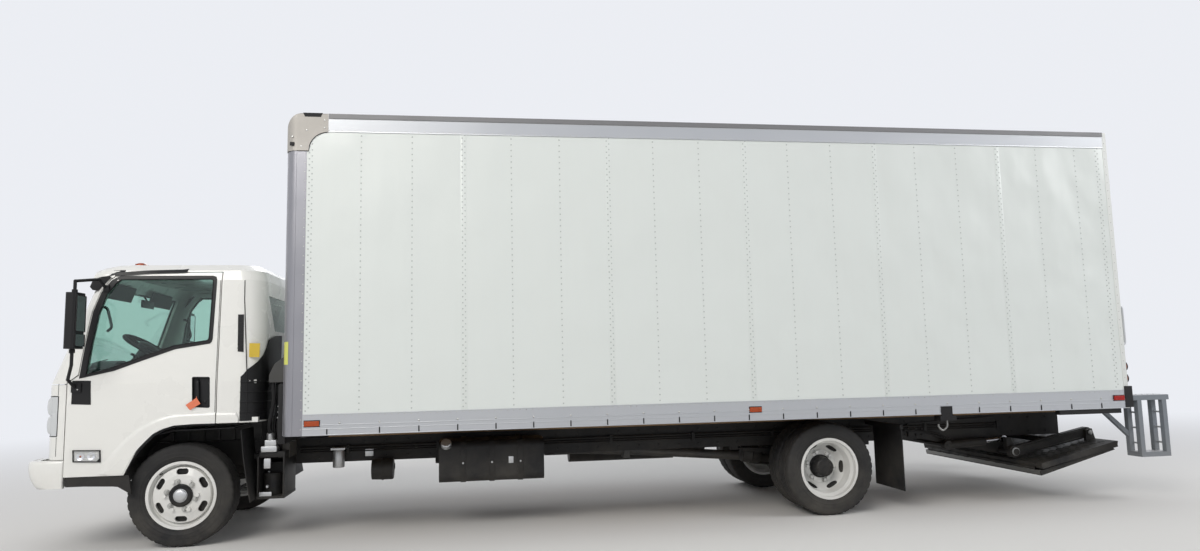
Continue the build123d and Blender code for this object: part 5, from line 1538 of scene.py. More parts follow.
def door_trim(side, sign):
    outline = dense([(0.7, 1.325), (0.45, 1.378), (0.27, 1.452), (0.04, 1.535), (-0.18, 1.575),
                     (-0.232, 1.55), (-0.232, 1.04), (-0.21, 1.016), (0.74, 1.016), (0.765, 1.04),
                     (0.765, 1.29)], 0.09)
    bm = bmesh.new()
    add_ring_stack(bm, [on_side(outline, -0.0605, sign), on_side(outline, -0.07, sign)])
    y = sign * 0.945
    add_box(bm, (-0.19, y, 1.262), (0.36, y - sign * 0.052, 1.312), 0.012)
    add_box(bm, (0.02, y, 1.03), (0.56, y - sign * 0.04, 1.135), 0.014)
    keep(f"{side}_door_trim", bm, plastic_dash, f"{side}_door")
    dark = bmesh.new()
    add_lathe(dark, [(0, 0.006), (0.058, 0.005), (0.074, 0.009), (0.078, 0), (0, 0)],
              (0.585, sign * 0.9505, 1.185), (0, -sign, 0), 32)
    add_tube(dark, rounded([(0.4, sign * 0.948, 1.4), (0.385, sign * 0.925, 1.385),
                            (0.29, sign * 0.925, 1.375), (0.275, sign * 0.948, 1.375)], 0.012), 0.008, 8)
    for k in range(4):
        add_box(dark, (0.16 + 0.045 * k, y - sign * 0.02, 1.311),
                (0.19 + 0.045 * k, y - sign * 0.045, 1.3165), 0.002)
    keep(f"{side}_door_fittings", dark, plastic_black, f"{side}_door")


cab_room()
on_both_sides(door_trim)
print("cab room furnished")

# %% [markdown]
# The cab's face isn't seen from the photo's side, but the truck is turned round when it is judged.
# It gets a dark mesh behind the grille bars, a cowl and a seal round the windscreen, and two wipers
# at rest on the glass. All of it follows the bowed skin, so points are asked for by width and height.


# %% Grille mesh, cowl, seal and wipers
def on_face(points, lift):
    return [Vector((cab_face(y, z) + lift, y, z)) for y, z in points]


def face_patch(bm, y0, y1, z0, z1, low, high, count=14):
    """A strip across the bowed front between two heights, from one lift to another."""
    rings = []
    for i in range(count + 1):
        y = y0 + (y1 - y0) * i / count
        rings.append([p for z, lift in ((z0, low), (z1, low), (z1, high), (z0, high))
                      for p in on_face([(y, z)], lift)])
    add_ring_stack(bm, rings)


def cab_front():
    mesh_back = bmesh.new()
    for half, z0, z1 in ((0.565, 0.772, 0.858), (0.505, 0.897, 0.963), (0.505, 0.977, 1.043)):
        face_patch(mesh_back, -half, half, z0, z1, -0.052, -0.04)
        for k in range(int(half / 0.0125)):
            y = -half + 0.012 + k * 0.025
            p = on_face([(y, z0 + 0.006), (y, z1 - 0.006)], -0.038)
            add_tube(mesh_back, p, 0.0028, 5)
    keep("grille_mesh", mesh_back, plastic_black, "cab")
    belt = bmesh.new()
    face_patch(belt, -0.8, 0.8, 1.3, 1.338, -0.001, 0.005, 24)
    for sign in (-1, 1):
        for k in range(7):
            a, b = (sign * (0.1 + 0.52 * (k + part) / 7) for part in (0.15, 0.85))
            face_patch(belt, a, b, 1.314, 1.322, 0.004, 0.009, 2)
    keep("windscreen_cowl", belt, plastic_black, "cab")
    seal = bmesh.new()
    rim = [(-0.86, 1.345), (-0.79, 2.085), (0.79, 2.085), (0.86, 1.345)]
    route = []
    for (y0, z0), (y1, z1) in zip(rim, rim[1:] + rim[:1]):
        count = 22
        route += [(y0 + (y1 - y0) * i / count, z0 + (z1 - z0) * i / count) for i in range(count)]
    points = [Vector((cab_face(y, z) - 0.004, y, z)) for y, z in route]
    add_tube(seal, points + points[:1], 0.0105, 8)
    keep("windscreen_seal", seal, rubber_black, "cab")
    wiper = bmesh.new()
    for y0, y1 in ((0.62, 0.02), (-0.06, -0.66)):
        foot = Vector((cab_face(y0, 1.33) + 0.006, y0, 1.33))
        tip = Vector((cab_face((y0 + y1) / 2, 1.455) + 0.018, (y0 + y1) / 2, 1.455))
        add_lathe(wiper, [(0, 0.022), (0.012, 0.02), (0.017, 0), (0, 0)], foot, (1, 0, 0.2), 16)
        add_tube(wiper, rounded([foot + Vector((0.014, 0, 0)),
                                 foot * 0.4 + tip * 0.6 + Vector((0.016, 0, 0)), tip], 0.03), 0.0062, 8)
        blade = [Vector((cab_face(y, z) + 0.004, y, z)) for y, z in
                 [(y0 + 0.02 + (y1 - y0 - 0.02) * k / 12, 1.405 + 0.095 * k / 12) for k in range(13)]]
        add_tube(wiper, blade, 0.0052, 6)
        add_tube(wiper, [p + Vector((0.008, 0, 0.002)) for p in blade[2:11]], 0.0036, 6)
    keep("wipers", wiper, plastic_black, "cab")


cab_front()
print("grille mesh, cowl, seal and wipers in place")

# %% [markdown]
# The bumper is one CAD solid with plain pockets. Bars and a backing fill its intake, turned bowls and
# domed glasses fill the fog lamp pockets, and the number plate stays blank.


# %% Bumper intake, fog lamps and blank plate
def bumper_parts():
    dark, lamp, glass = bmesh.new(), bmesh.new(), bmesh.new()
    for z in (0.555, 0.578, 0.601, 0.624):
        add_tube(dark, [(1.056 - 0.04 * (y / 0.33) ** 2, y, z) for y in (-0.33, -0.16, 0, 0.16, 0.33)],
                 0.006, 6)
    add_box(dark, (1.028, -0.345, 0.543), (1.036, 0.345, 0.637), 0.002)
    for sign in (-1, 1):
        x = 1.015
        add_box(dark, (x - 0.03, sign * 0.61, 0.553), (x - 0.022, sign * 0.79, 0.647), 0.003)
        add_lathe(lamp, [(0.038, 0.03), (0.041, 0.03), (0.036, 0.008), (0.015, -0.012), (0, -0.014),
                         (0, -0.018), (0.02, -0.018), (0.041, 0.006)], (x, sign * 0.7, 0.6), (1, 0, 0), 28)
        add_lathe(glass, [(0, 0.032), (0.03, 0.03), (0.0375, 0.026), (0.0375, 0.02), (0, 0.024)],
                  (x, sign * 0.7, 0.6), (1, 0, 0), 28)
    keep("bumper_intake_and_pockets", dark, plastic_black, "chassis")
    keep("fog_lamp_bowls", lamp, chrome, "chassis")
    keep("fog_lamp_glass", glass, lens_white, "chassis")
    plate = bmesh.new()
    add_box(plate, (1.1115, -0.152, 0.655), (1.1135, 0.152, 0.7065), 0.0005)
    keep("front_blank_plate", plate, plate_blank, "chassis")


bumper_parts()
print("bumper fitted")

# %% [markdown]
# Each headlamp shows three bowls and a turn bulb against a grey housing. Its corner lens bulges a
# little over the skin, in two panes, and a thin dark gasket follows the lens round the corner.


# %% Headlamps, corner lens and gasket
def headlamps(side, sign):
    house = bmesh.new()
    face_patch(house, sign * 0.628, sign * 0.985, 0.902, 1.198, -0.085, -0.072, 18)
    keep(f"{side}_headlamp_back", house, lamp_housing, "cab")
    bowl, bulb, amber = bmesh.new(), bmesh.new(), bmesh.new()
    for y, z, r in ((0.7, 1.12, 0.062), (0.835, 1.11, 0.062), (0.705, 0.985, 0.056)):
        x = cab_face(y, z) - 0.068
        add_lathe(bowl, [(r, 0.05), (r + 0.003, 0.052), (r + 0.005, 0.046), (r * 0.75, 0.016), (r * 0.3, 0),
                         (0, 0), (0, 0.004), (r * 0.28, 0.004), (r * 0.7, 0.018)], (x, sign * y, z),
                  (1, 0, 0), 32)
        add_lathe(bulb, [(0, 0.04), (0.008, 0.036), (0.011, 0.024), (0.009, 0.004), (0, 0.004)],
                  (x, sign * y, z), (1, 0, 0), 16)
    y, z = 0.835, 0.975
    add_lathe(amber, [(0, 0.04), (0.012, 0.036), (0.016, 0.024), (0.013, 0.004), (0, 0.004)],
              (cab_face(y, z) - 0.066, sign * y, z), (1, 0, 0), 16)
    corner = bmesh.new()
    for z0, z1 in ((0.912, 1.052), (1.056, 1.194)):
        rings = []
        for i in range(15):
            v = i / 14
            z = z0 + (z1 - z0) * v
            outer, inner = [], []
            for j in range(11):
                y = 0.894 + 0.099 * j / 10
                lift = 0.002 + 0.022 * (sin(pi * v) * sin(pi * j / 10)) ** 0.5
                outer.append(Vector((cab_face(y, z) + lift, sign * y, z)))
                inner.append(Vector((cab_face(y, z) - 0.003, sign * y, z)))
            rings.append(outer + inner[::-1])
        add_ring_stack(corner, rings)
    side_patch(corner, [(0.94, 1.199), (0.884, 1.199)], [(0.94, 0.901), (0.884, 0.901)], 7, -0.006, 0.003,
               sign)
    keep(f"{side}_corner_lens", corner, lamp_frosted, "cab", smooth=60)
    keep(f"{side}_headlamp_bowls", bowl, chrome, "cab", smooth=50)
    keep(f"{side}_headlamp_bulbs", bulb, lens_white, "cab")
    keep(f"{side}_turn_signal_bulb", amber, lens_amber, "cab")
    rim = bmesh.new()
    widths = [0.622 + 0.363 * k / 14 for k in range(15)]
    under, over = ([Vector((cab_face(y, z) - 0.002, sign * y, z)) for y in widths] +
                   on_side([(x, z) for x in (0.925, 0.905, 0.884)], -0.001, sign) for z in (0.897, 1.203))
    upright = on_side([(0.881, z) for z in (0.9, 1, 1.1, 1.2)], -0.001, sign)
    points = under + upright + over[::-1]
    add_tube(rim, points + points[:1], 0.0042, 6)
    for z0, z1 in ((0.745, 0.89), (1.21, 1.3)):
        add_tube(rim, on_side([(0.884, z0 + (z1 - z0) * k / 4) for k in range(5)], 0, sign), 0.0022, 6)
    keep(f"{side}_headlamp_gasket", rim, rubber_black, "cab")


on_both_sides(headlamps)
print("cab front finished")

# %% [markdown]
# Mirrors: the head is a CAD block with rounded edges; glass, a rubber frame and a smaller wide-angle
# glass go on its rear face, and ribs and clamps make the tubular arms look bolted.


# %% Mirror glass and clamps
def mirror_parts(side, sign):
    x, y = 0.664, 1.215
    glass, rubber = bmesh.new(), bmesh.new()
    for z0, z1 in ((1.69, 1.968), (1.58, 1.672)):
        corners = [(y - 0.068, z0), (y + 0.068, z0), (y + 0.074, z0 + 0.008), (y + 0.074, z1 - 0.008),
                   (y + 0.068, z1), (y - 0.068, z1), (y - 0.074, z1 - 0.008), (y - 0.074, z0 + 0.008)]
        small = [(y + (a - y) * 0.93, (z0 + z1) / 2 + (b - (z0 + z1) / 2) * 0.965) for a, b in corners]
        add_band(rubber, [(x + 0.001, sign * a, b) for a, b in corners],
                 [(x + 0.001, sign * a, b) for a, b in small], (-0.007, 0, 0))
        add_slab(glass, [(x - 0.001, sign * a, b) for a, b in small], (-0.0025, 0, 0))
    keep(f"{side}_mirror_glass", glass, mirror_glass, f"{side}_door")
    for z in (1.6, 1.675, 1.75, 1.825, 1.9):
        add_box(rubber, (0.7445, sign * 1.16, z), (0.7485, sign * 1.27, z + 0.012), 0.0015)
    for z in (1.545, 2):
        add_lathe(rubber, [(0.0128, -0.016), (0.02, -0.014), (0.02, 0.014), (0.0128, 0.016)],
                  (0.712, sign * y, z), (0, 0, 1), 18)
    keep(f"{side}_mirror_frames", rubber, rubber_black, f"{side}_door")
    bolts = bmesh.new()
    for px, pz in ((0.742, 1.252), (0.768, 1.282)):
        add_head(bolts, (px, sign * 1.034, pz), (0, sign, 0), 0.006, 0.005, 6, 0.85)
    keep(f"{side}_mirror_bolts", bolts, metal_bolt, f"{side}_door")


on_both_sides(mirror_parts)
print("mirrors fitted")

# %% [markdown]
# Small marks of use and supply: yellow labels without print on the cab's rear corner and on the
# body's corner post, an orange tag that hangs at the door handle, the black inserts of the
# corner caps, and a red lens over each rear side marker. They are what the eye checks first.


# %% Labels, tag, cap inserts and rear markers
def labels():
    yellow = bmesh.new()
    side_patch(yellow, [(-0.504, 1.59), (-0.585, 1.588)], [(-0.506, 1.478), (-0.585, 1.476)], 5, -0.004,
               0.0012, 1)
    keep("cab_blank_label", yellow, decal_blank, "cab")
    strip = bmesh.new()
    low, high, label_degrees = 1.409, 1.588, range(10, 59, 8)
    add_slab(strip, [(-0.8045, y, z) for y, z in ((1.06, low), (1.108, low), (1.108, high), (1.06, high))],
             (0.0012, 0, 0))
    inner, outer = (arc((-0.9, 1.1242), r, r, label_degrees) for r in (0.0956, 0.0956 * 1.008))
    add_ring_stack(strip, [[(*a, low), (*a, high), (*b, high), (*b, low)] for a, b in zip(inner, outer)])
    keep("post_blank_label", strip, label_lime, "chassis")
    tag = bmesh.new()
    outline = [(-0.046, 1.11), (-0.126, 1.166), (-0.156, 1.118), (-0.08, 1.07)]
    add_ring_stack(tag, [on_side(outline, 0.01, 1), on_side(outline, 0.0125, 1)])
    add_tube(tag, [on_side([spot], lift, 1)[0] for spot, lift in
                   (((-0.118, 1.15), 0.011), ((-0.128, 1.185), 0.004), ((-0.126, 1.215), -0.002))], 0.0016, 6)
    keep("door_blank_tag", tag, tag_orange, "left_door")


def cap_inserts(side, sign):
    dark = bmesh.new()
    y = 1.2255
    add_box(dark, (-0.8715, sign * (y - 0.002), 3.168), (-0.836, sign * (y + 0.0012), 3.199), 0.0008)
    add_slab(dark, [(-0.935, sign * (y - 0.004), 3.4445), (-1.088, sign * (y - 0.004), 3.4445),
                    (-1.075, sign * (y - 0.0005), 3.412), (-0.95, sign * (y - 0.0005), 3.412)],
             (0, sign * 0.0022, 0.0012))
    route = [(-1.133, 3.2895)] + arc((-1.134, 3.135), 0.1525, 0.1525, range(84, 4, -8))
    route += [(-0.9815, 3.1295), (-0.895, 3.1295)]
    add_tube(dark, [(x, sign * 1.2215, z) for x, z in route], 0.0042, 6)
    keep(f"{side}_cap_inserts", dark, rubber_black, "chassis")
    bolts = bmesh.new()
    for x, z in ((-1.105, 3.385), (-1.105, 3.322), (-0.925, 3.165), (-0.855, 3.245), (-0.965, 3.3)):
        add_head(bolts, (x, sign * 1.2252, z), (0, sign, 0), 0.0075, 0.004, 10)
    keep(f"{side}_cap_screws", bolts, metal_bolt, "chassis")


def side_markers(side, sign):
    base, red, amber = bmesh.new(), bmesh.new(), bmesh.new()
    for x, bm in ((-1.04, amber), (-4.66, amber), (-8.135, red)):
        half = 0.055 if x > -2 else 0.05
        outline = [(-half, -0.02), (half, -0.02), (half, 0.02), (-half, 0.02)]
        add_box(base, (x - half - 0.007, sign * 1.2208, 0.9185), (x + half + 0.007, sign * 1.2245, 0.9715),
                0.0015)
        rings = [[(x + u * s, sign * y, 0.945 + v * s) for u, v in outline]
                 for s, y in ((1.03, 1.2215), (1.03, 1.2335), (0.96, 1.2365), (0.8, 1.2375))]
        add_ring_stack(bm, rings)
        for k in range(9):
            u = x - half + 2 * half * (k + 0.5) / 9
            add_box(bm, (u - 0.0012, sign * 1.2365, 0.928), (u + 0.0012, sign * 1.2385, 0.962))
    keep(f"{side}_marker_bases", base, rubber_black, "chassis")
    keep(f"{side}_marker_amber", amber, lens_amber, "chassis")
    keep(f"{side}_marker_red", red, lens_red, "chassis")


label_lime = finish("label_lime", (0.66, 0.68, 0.16), 0.45, grain=200, bump=0.04)
labels()
on_both_sides(cap_inserts, side_markers)
print("labels, inserts and markers placed")

# %% [markdown]
# The body's nose: a smooth front wall with its own rivet rows and a rounded header extrusion with two
# drip lines, both seen above the cab.


# %% Front wall rivets and header lines
def body_nose():
    rivets = bmesh.new()
    for y in (-1.09, -0.8, -0.4, 0, 0.4, 0.8, 1.09):
        for k in range(46):
            add_head(rivets, (-0.807, y, 0.93 + 2.3 * k / 45), (1, 0, 0), 0.0052, 0.0026, 7)
    for k in range(42):
        add_head(rivets, (-0.805, -1.03 + 2.06 * k / 41, 3.312), (1, 0, 0), 0.0052, 0.0026, 7)
    keep("front_wall_rivets", rivets, metal_bolt, "chassis", smooth=80)
    lines = bmesh.new()
    for x, z in arc((-0.949, 3.296), 0.1445, 0.1445, (12, 78)):
        add_tube(lines, [(x, -1.062, z), (x, 1.062, z)], 0.0026, 6)
    for sign in (-1, 1):
        for x, y in arc((-0.9, 1.1242), 0.0954, 0.0954, (8, 84)):
            add_tube(lines, [(x, sign * y, 0.852), (x, sign * y, 3.126)], 0.0022, 6)
    keep("nose_drip_lines", lines, metal_post, "chassis")


body_nose()
print("body nose finished")

# %% [markdown]
# Three covers change the cab's outline: a moulded header over the windscreen, bumper ends that round
# off below, and the black shroud that closes the rear corners over the engine, its black partly painted
# shade for the dark space there. Each is a thin shell skinned from one profile that is carried along a path,
# which keeps its edges fair.


# %% Header, bumper ends and rear shroud
def cab_header():
    outer = [(0.772, 2.088), (0.776, 2.115), (0.762, 2.158), (0.722, 2.2), (0.655, 2.229), (0.56, 2.25),
             (0.44, 2.254), (0.35, 2.249)]
    inner = [(x - 0.016, z - 0.012) for x, z in reversed(outer)]
    half = [(0, 0, 0), (0.5, 0.009, 0), (0.8, 0.022, 0), (0.87, 0.029, 0.01), (0.905, 0.042, 0.03),
            (0.928, 0.066, 0.05), (0.936, 0.11, 0.075)]
    bm = bmesh.new()
    places = [(-y, s, d) for y, s, d in half[:0:-1]] + half
    add_ring_stack(bm, [[(x - set_back * (1 if z < 2.2 else 0.4), y, z - drop * (z - 2) / 0.2)
                         for x, z in outer + inner] for y, set_back, drop in places])
    keep("cab_header", bm, paint_cab, "cab", smooth=50)
    caps = bmesh.new()
    ends = [(0.722, 2.06), (0.7, 2.119), (0.64, 2.14), (0.589, 2.146), (0.568, 2.134), (0.616, 2.078),
            (0.664, 2.03), (0.7, 2.034)]
    for sign in (-1, 1):
        add_ring_stack(caps, [[(x - t, sign * y, z) for x, z in ends]
                              for y, t in ((0.905, 0.03), (0.958, 0), (0.966, 0.005))])
    keep("pillar_top_covers", caps, plastic_black, "cab")


# how far the section stands back, its offset along the outline's normal, and its height
bumper_profile = [(-0.078, -0.012, 0.4985), (-0.07, 0.0005, 0.5005), (-0.05, 0.001, 0.52),
                  (-0.026, 0.0015, 0.56), (-0.012, 0.002, 0.6), (-0.003, 0.002, 0.64), (0, 0.001, 0.694),
                  (-0.003, -0.004, 0.708), (-0.01, -0.02, 0.7145), (-0.012, -0.03, 0.7),
                  (-0.056, -0.03, 0.52)]


def bumper_end(side, sign):
    plan = [(1.106, 0.78), (1.11, 0.86), (1.106, 0.93), (1.092, 0.972), (1.06, 1.003), (1, 1.0205),
            (0.9, 1.0235), (0.83, 1.024)]
    bm = bmesh.new()
    rings = []
    for i, (x, y) in enumerate(plan):
        (x0, y0), (x1, y1) = plan[max(i - 1, 0)], plan[min(i + 1, len(plan) - 1)]
        length = sqrt((x1 - x0) ** 2 + (y1 - y0) ** 2)
        nx, ny = (y1 - y0) / length, (x0 - x1) / length
        front = max(0, min(1, (x - 0.83) / 0.17))
        rings.append([(x + step * front + nx * d, sign * (y + ny * d), z) for step, d, z in bumper_profile])
    add_ring_stack(bm, rings)
    keep(f"{side}_bumper_end", bm, paint_cab, "chassis", smooth=50)


# Its black is partly the plastic that covers the corner, and partly painted shade for the shadowed space over
# the engine behind the cab.
def rear_corner_cover_and_shade(side, sign):
    """Skinned along places: a length along the cab, then degrees round its corner, then its rear face."""
    corner, top_lift, foot_z = 0.165, 0.006, 0.972
    places = [("side", -0.453, 1.315), ("side", -0.449, 1.322), ("corner", 8, 1.345), ("corner", 16, 1.378),
                ("corner", 30, 1.41), ("corner", 45, 1.445), ("corner", 60, 1.49), ("corner", 75, 1.555),
                ("corner", 90, 1.62), ("rear", 0.2, 1.66), ("rear", 0.42, 1.67)]

    def skin(place, z, lift):
        kind, value = place[:2]
        half = cab_section(z)[1]
        if kind == "corner":
            a = radians(value)
            return -0.448 - (corner + lift) * sin(a), sign * (half - corner + (corner + lift) * cos(a)), z
        if kind == "rear":
            return -0.613 - lift, sign * (half - corner - value), z
        return value, sign * (half + lift), z

    bm = bmesh.new()
    add_ring_stack(bm, [[skin(p, foot_z, -0.002), skin(p, p[2], -0.002), skin(p, p[2], top_lift),
                         skin(p, foot_z, top_lift)] for p in places])
    for level in (1.04, 1.12, 1.2, 1.28):
        add_tube(bm, [skin(p, level, top_lift) for p in places], 0.006, 6)
    keep(f"{side}_rear_shroud", bm, plastic_black, "cab")


cab_header()
on_both_sides(bumper_end, rear_corner_cover_and_shade)
print("covers fitted")

# %% [markdown]
# Behind the cab and along the rails hang the parts that the photo shows as bright specks in deep
# shade: hoses, a valve block, filters and brackets. They are clipped at both ends, so they are
# plain bent tubes and turned shapes that ride on the chassis, not free cords.


# %% Hoses behind the cab
def bellows(bm, points, radius, pitch=0.016, sides=14):
    """A ribbed hose: a tube whose radius waves along its length."""
    points = [Vector(p) for p in points]
    rings, side = [], None
    for a, b in zip(points, points[1:]):
        ahead = (b - a).normalized()
        side = frame_along(ahead)[0] if side is None else (side - ahead * side.dot(ahead)).normalized()
        count = max(2, round((b - a).length / (pitch / 2)))
        for k in range(count):
            r = radius * (1 if len(rings) % 2 else 0.86)
            rings.append(circle(a.lerp(b, k / count), r, side, ahead.cross(side), sides))
    add_ring_stack(bm, rings)


def behind_cab():
    hoses = bmesh.new()
    bellows(hoses, rounded([(-0.715, 0.8, 1.272), (-0.715, 0.8, 1.05), (-0.7, 0.6, 0.93),
                            (-0.6, 0.36, 0.9)], 0.09), 0.048)
    for y, x, r in ((0.895, -0.665, 0.016), (0.86, -0.695, 0.011), (0.905, -0.735, 0.013),
                    (0.83, -0.65, 0.009)):
        add_tube(hoses, rounded([(x, y, 1.28), (x - 0.02, y + 0.02, 1.12), (x + 0.03, y - 0.02, 0.92),
                                 (x + 0.02, y - 0.12, 0.74), (-0.65, 0.56, 0.66)], 0.07), r, 8)
    for k, z in enumerate((1.12, 1.17, 1.22)):
        add_tube(hoses, [(-0.765, 0.44, z), (-0.765, 1.02, z - 0.01 * k)], 0.012, 8)
    add_box(hoses, (-0.8, 0.455, 0.78), (-0.742, 1.035, 1.255), 0.006)
    keep("cab_back_hoses", hoses, rubber_black, "chassis")
    bright = bmesh.new()
    for z in (0.985, 1.03, 1.075):
        add_box(bright, (-0.7405, 0.8, z), (-0.736, 1.02, z + 0.008), 0.001)
    add_box(bright, (-0.655, 0.848, 0.575), (-0.603, 0.872, 0.655), 0.005)
    add_box(bright, (-0.7, 0.78, 0.705), (-0.575, 0.866, 0.752), 0.008)
    add_box(bright, (-0.69, 0.8, 0.752), (-0.6, 0.85, 0.8), 0.006)
    add_lathe(bright, [(0, 0), (0.028, 0), (0.03, 0.004), (0.03, 0.05), (0.022, 0.06), (0, 0.062)],
              (-0.64, 0.826, 0.8), (0, 0, 1), 24)
    add_box(bright, (-0.662, 0.842, 0.352), (-0.565, 0.85, 0.385), 0.002)
    for x, z in ((-0.63, 0.43), (-0.72, 0.55), (-0.59, 0.52)):
        add_lathe(bright, [(0, 0), (0.012, 0), (0.014, 0.008), (0.008, 0.02), (0, 0.021)],
                  (x, 0.63 if z > 0.5 else 0.845, z), (0, 1, 0), 12)
    keep("cab_back_fittings", bright, metal_alloy, "chassis")
    dark = bmesh.new()
    add_box(dark, (-0.76, 0.4, 0.66), (-0.56, 0.846, 0.706), 0.006)
    for x in (-0.752, -0.552):
        add_box(dark, (x - 0.006, 0.425, 0.345), (x + 0.006, 0.845, 0.67), 0.002)
    keep("cab_back_brackets", dark, underbody_black_and_shade, "chassis")


behind_cab()
print("cab back fitted")

# %% [markdown]
# The rails carry long rows: bolt heads at one pitch, three lines with clamps, and straps round the
# fuel tank, besides filters and spring clips. The engine is one plain block from CAD, so it only
# gets ribs, rocker covers and two pulleys.


# %% Rails and engine
def rail_fittings():
    dark, bright = bmesh.new(), bmesh.new()
    web_y, bolt_pitch, clamp_pitch = 0.425, 0.19, 0.78
    for sign in (1, -1):
        y = sign * web_y
        for k in range(38):
            x = -0.95 - k * bolt_pitch
            for z in (0.6, 0.735):
                add_head(dark, (x, y, z), (0, sign, 0), 0.01, 0.006, 6, 0.8)
        for z, r in ((0.65, 0.007), (0.668, 0.007), (0.69, 0.011)):
            add_tube(dark, [(-0.8 - 0.6 * k, y + sign * (0.02 + 0.006 * (k % 2)), z) for k in range(12)], r,
                     6)
        for k in range(9):
            x = -1.21 - clamp_pitch * k
            add_box(dark, (x, y, 0.636), (x + 0.03, y + sign * 0.034, 0.706), 0.003)
    for x in (-2.68, -2.44, -2.2):
        band = [(0.462, 0.742), (0.84, 0.7425), (0.878, 0.728), (0.9025, 0.69), (0.9025, 0.45),
                (0.878, 0.412), (0.84, 0.3975), (0.52, 0.3975), (0.482, 0.412), (0.458, 0.45)]
        add_ring_stack(dark, [[(x + dx, y + (0.003 if y > 0.7 else -0.003) * s,
                                z + (0.003 if z > 0.6 else -0.003) * s)
                               for dx, s in ((-0.022, -1), (-0.022, 1), (0.022, 1), (0.022, -1))]
                              for y, z in band], close_loop=True)
        add_head(bright, (x, 0.906, 0.56), (0, 1, 0), 0.009, 0.012, 6, 0.85)
    add_lathe(bright, [(0, 0.052), (0.038, 0.05), (0.044, 0.044), (0.044, 0.01), (0.034, 0.006),
                       (0.032, -0.03), (0, -0.03)], (-2.06, 0.878, 0.7), (0, 0.7, 0.7), 28)
    add_box(bright, (-2.62, 0.9005, 0.545), (-2.58, 0.9035, 0.6), 0.001)
    add_lathe(bright, [(0, 0), (0.046, 0), (0.05, 0.006), (0.05, 0.13), (0.04, 0.15), (0.014, 0.156),
                       (0, 0.156)], (-1.13, 0.5, 0.52), (0, 0, 1), 28)
    add_box(bright, (-1.19, 0.424, 0.672), (-1.07, 0.56, 0.69), 0.004)
    add_box(bright, (-1.415, 0.426, 0.6), (-1.345, 0.452, 0.665), 0.004)
    add_lathe(dark, [(0, 0), (0.085, 0), (0.092, 0.01), (0.092, 0.08), (0.098, 0.09), (0.092, 0.1),
                     (0.088, 0.18), (0, 0.186)], (-1.6, 0.56, 0.5), (1, 0, 0), 28)
    add_box(dark, (-1.6, 0.424, 0.48), (-1.42, 0.56, 0.53), 0.006)
    for sign in (1, -1):
        for x in (-5.52, -5.24):
            for dy in (-0.055, 0.055):
                add_tube(dark, rounded([(x, sign * 0.397 + dy, 0.33), (x, sign * 0.397 + dy, 0.62)], 0.01),
                         0.011, 8)
            add_box(dark, (x - 0.04, sign * 0.397 - 0.085, 0.315), (x + 0.04, sign * 0.397 + 0.085, 0.335),
                    0.003)
        add_lathe(dark, [(0, -0.09), (0.07, -0.09), (0.08, -0.075), (0.08, -0.01), (0.088, 0), (0.08, 0.01),
                         (0.074, 0.085), (0, 0.095)], (-4.9, sign * 0.33, 0.47), (1, 0, 0.1), 26)
        add_tube(dark, [(-4.9, sign * 0.33, 0.395), (-5.2, sign * 0.36, 0.36)], 0.012, 8)
    keep("rail_dark_fittings", dark, underbody_black_and_shade, "chassis")
    keep("rail_bright_fittings", bright, metal_alloy, "chassis")


def engine_details():
    dark, bright = bmesh.new(), bmesh.new()
    for sign in (1, -1):
        for k in range(6):
            x = -0.34 + 0.125 * k
            add_box(dark, (x, sign * 0.27, 0.62), (x + 0.022, sign * 0.292, 0.93), 0.004)
        add_box(bright, (-0.38, sign * 0.268, 0.955), (0.36, sign * 0.305, 1), 0.006)
        for k in range(8):
            add_head(bright, (-0.36 + 0.1 * k, sign * 0.271, 0.575), (0, sign, 0), 0.009, 0.008, 6, 0.85)
    add_box(dark, (-0.36, -0.2, 0.445), (0.34, 0.2, 0.482), 0.014)
    for x, y, r in ((-0.2, 0, 0.11), (0.1, 0.02, 0.085)):
        add_lathe(bright, [(r, 0), (r + 0.008, 0.004), (r + 0.008, 0.014), (r, 0.018), (r * 0.4, 0.02),
                           (0, 0.02), (0, 0)], (0.43, y + 0.1 * (1 if x < 0 else -1.2), 0.8 + x * 0.5),
                  (1, 0, 0), 28)
    keep("engine_ribs", dark, metal_engine, "chassis")
    keep("engine_bright_parts", bright, metal_alloy, "chassis")


rail_fittings()
engine_details()
print("chassis fittings placed")

# %% [markdown]
# The liftgate's folded decks carry raised treads, hinge knuckles and edge rails. They turn with the
# platform's own slope, so one function takes a place along and above the deck, as the source does.


# %% Liftgate decks and arms
gate_pivot = Vector((-7.45, 0, 0.43))
gate_slope = radians(11.4)
gate_hinge = gate_pivot + 0.806 * Vector((-cos(gate_slope), 0, sin(gate_slope)))
deck_slope = radians(12.4)
deck_along = Vector((cos(deck_slope), 0, -sin(deck_slope)))
deck_up = Vector((sin(deck_slope), 0, cos(deck_slope)))


def on_deck(u, n, y):
    spot = gate_hinge + deck_along * u + deck_up * n
    return Vector((spot.x, y, spot.z))


def deck_strip(bm, u0, u1, y0, y1, n0, n1, fall=0):
    """A raised strip on the deck, slightly narrower at its top."""
    rings = []
    for n, t in ((n0, 0), (n0 * 0.3 + n1 * 0.7, 0), (n1, 0.0015)):
        corners = ((u0 + t, y0 + t), (u1 - t, y0 + t), (u1 - t, y1 - t), (u0 + t, y1 - t))
        rings.append([on_deck(u, n - fall * u, y) for u, y in corners])
    add_ring_stack(bm, rings)


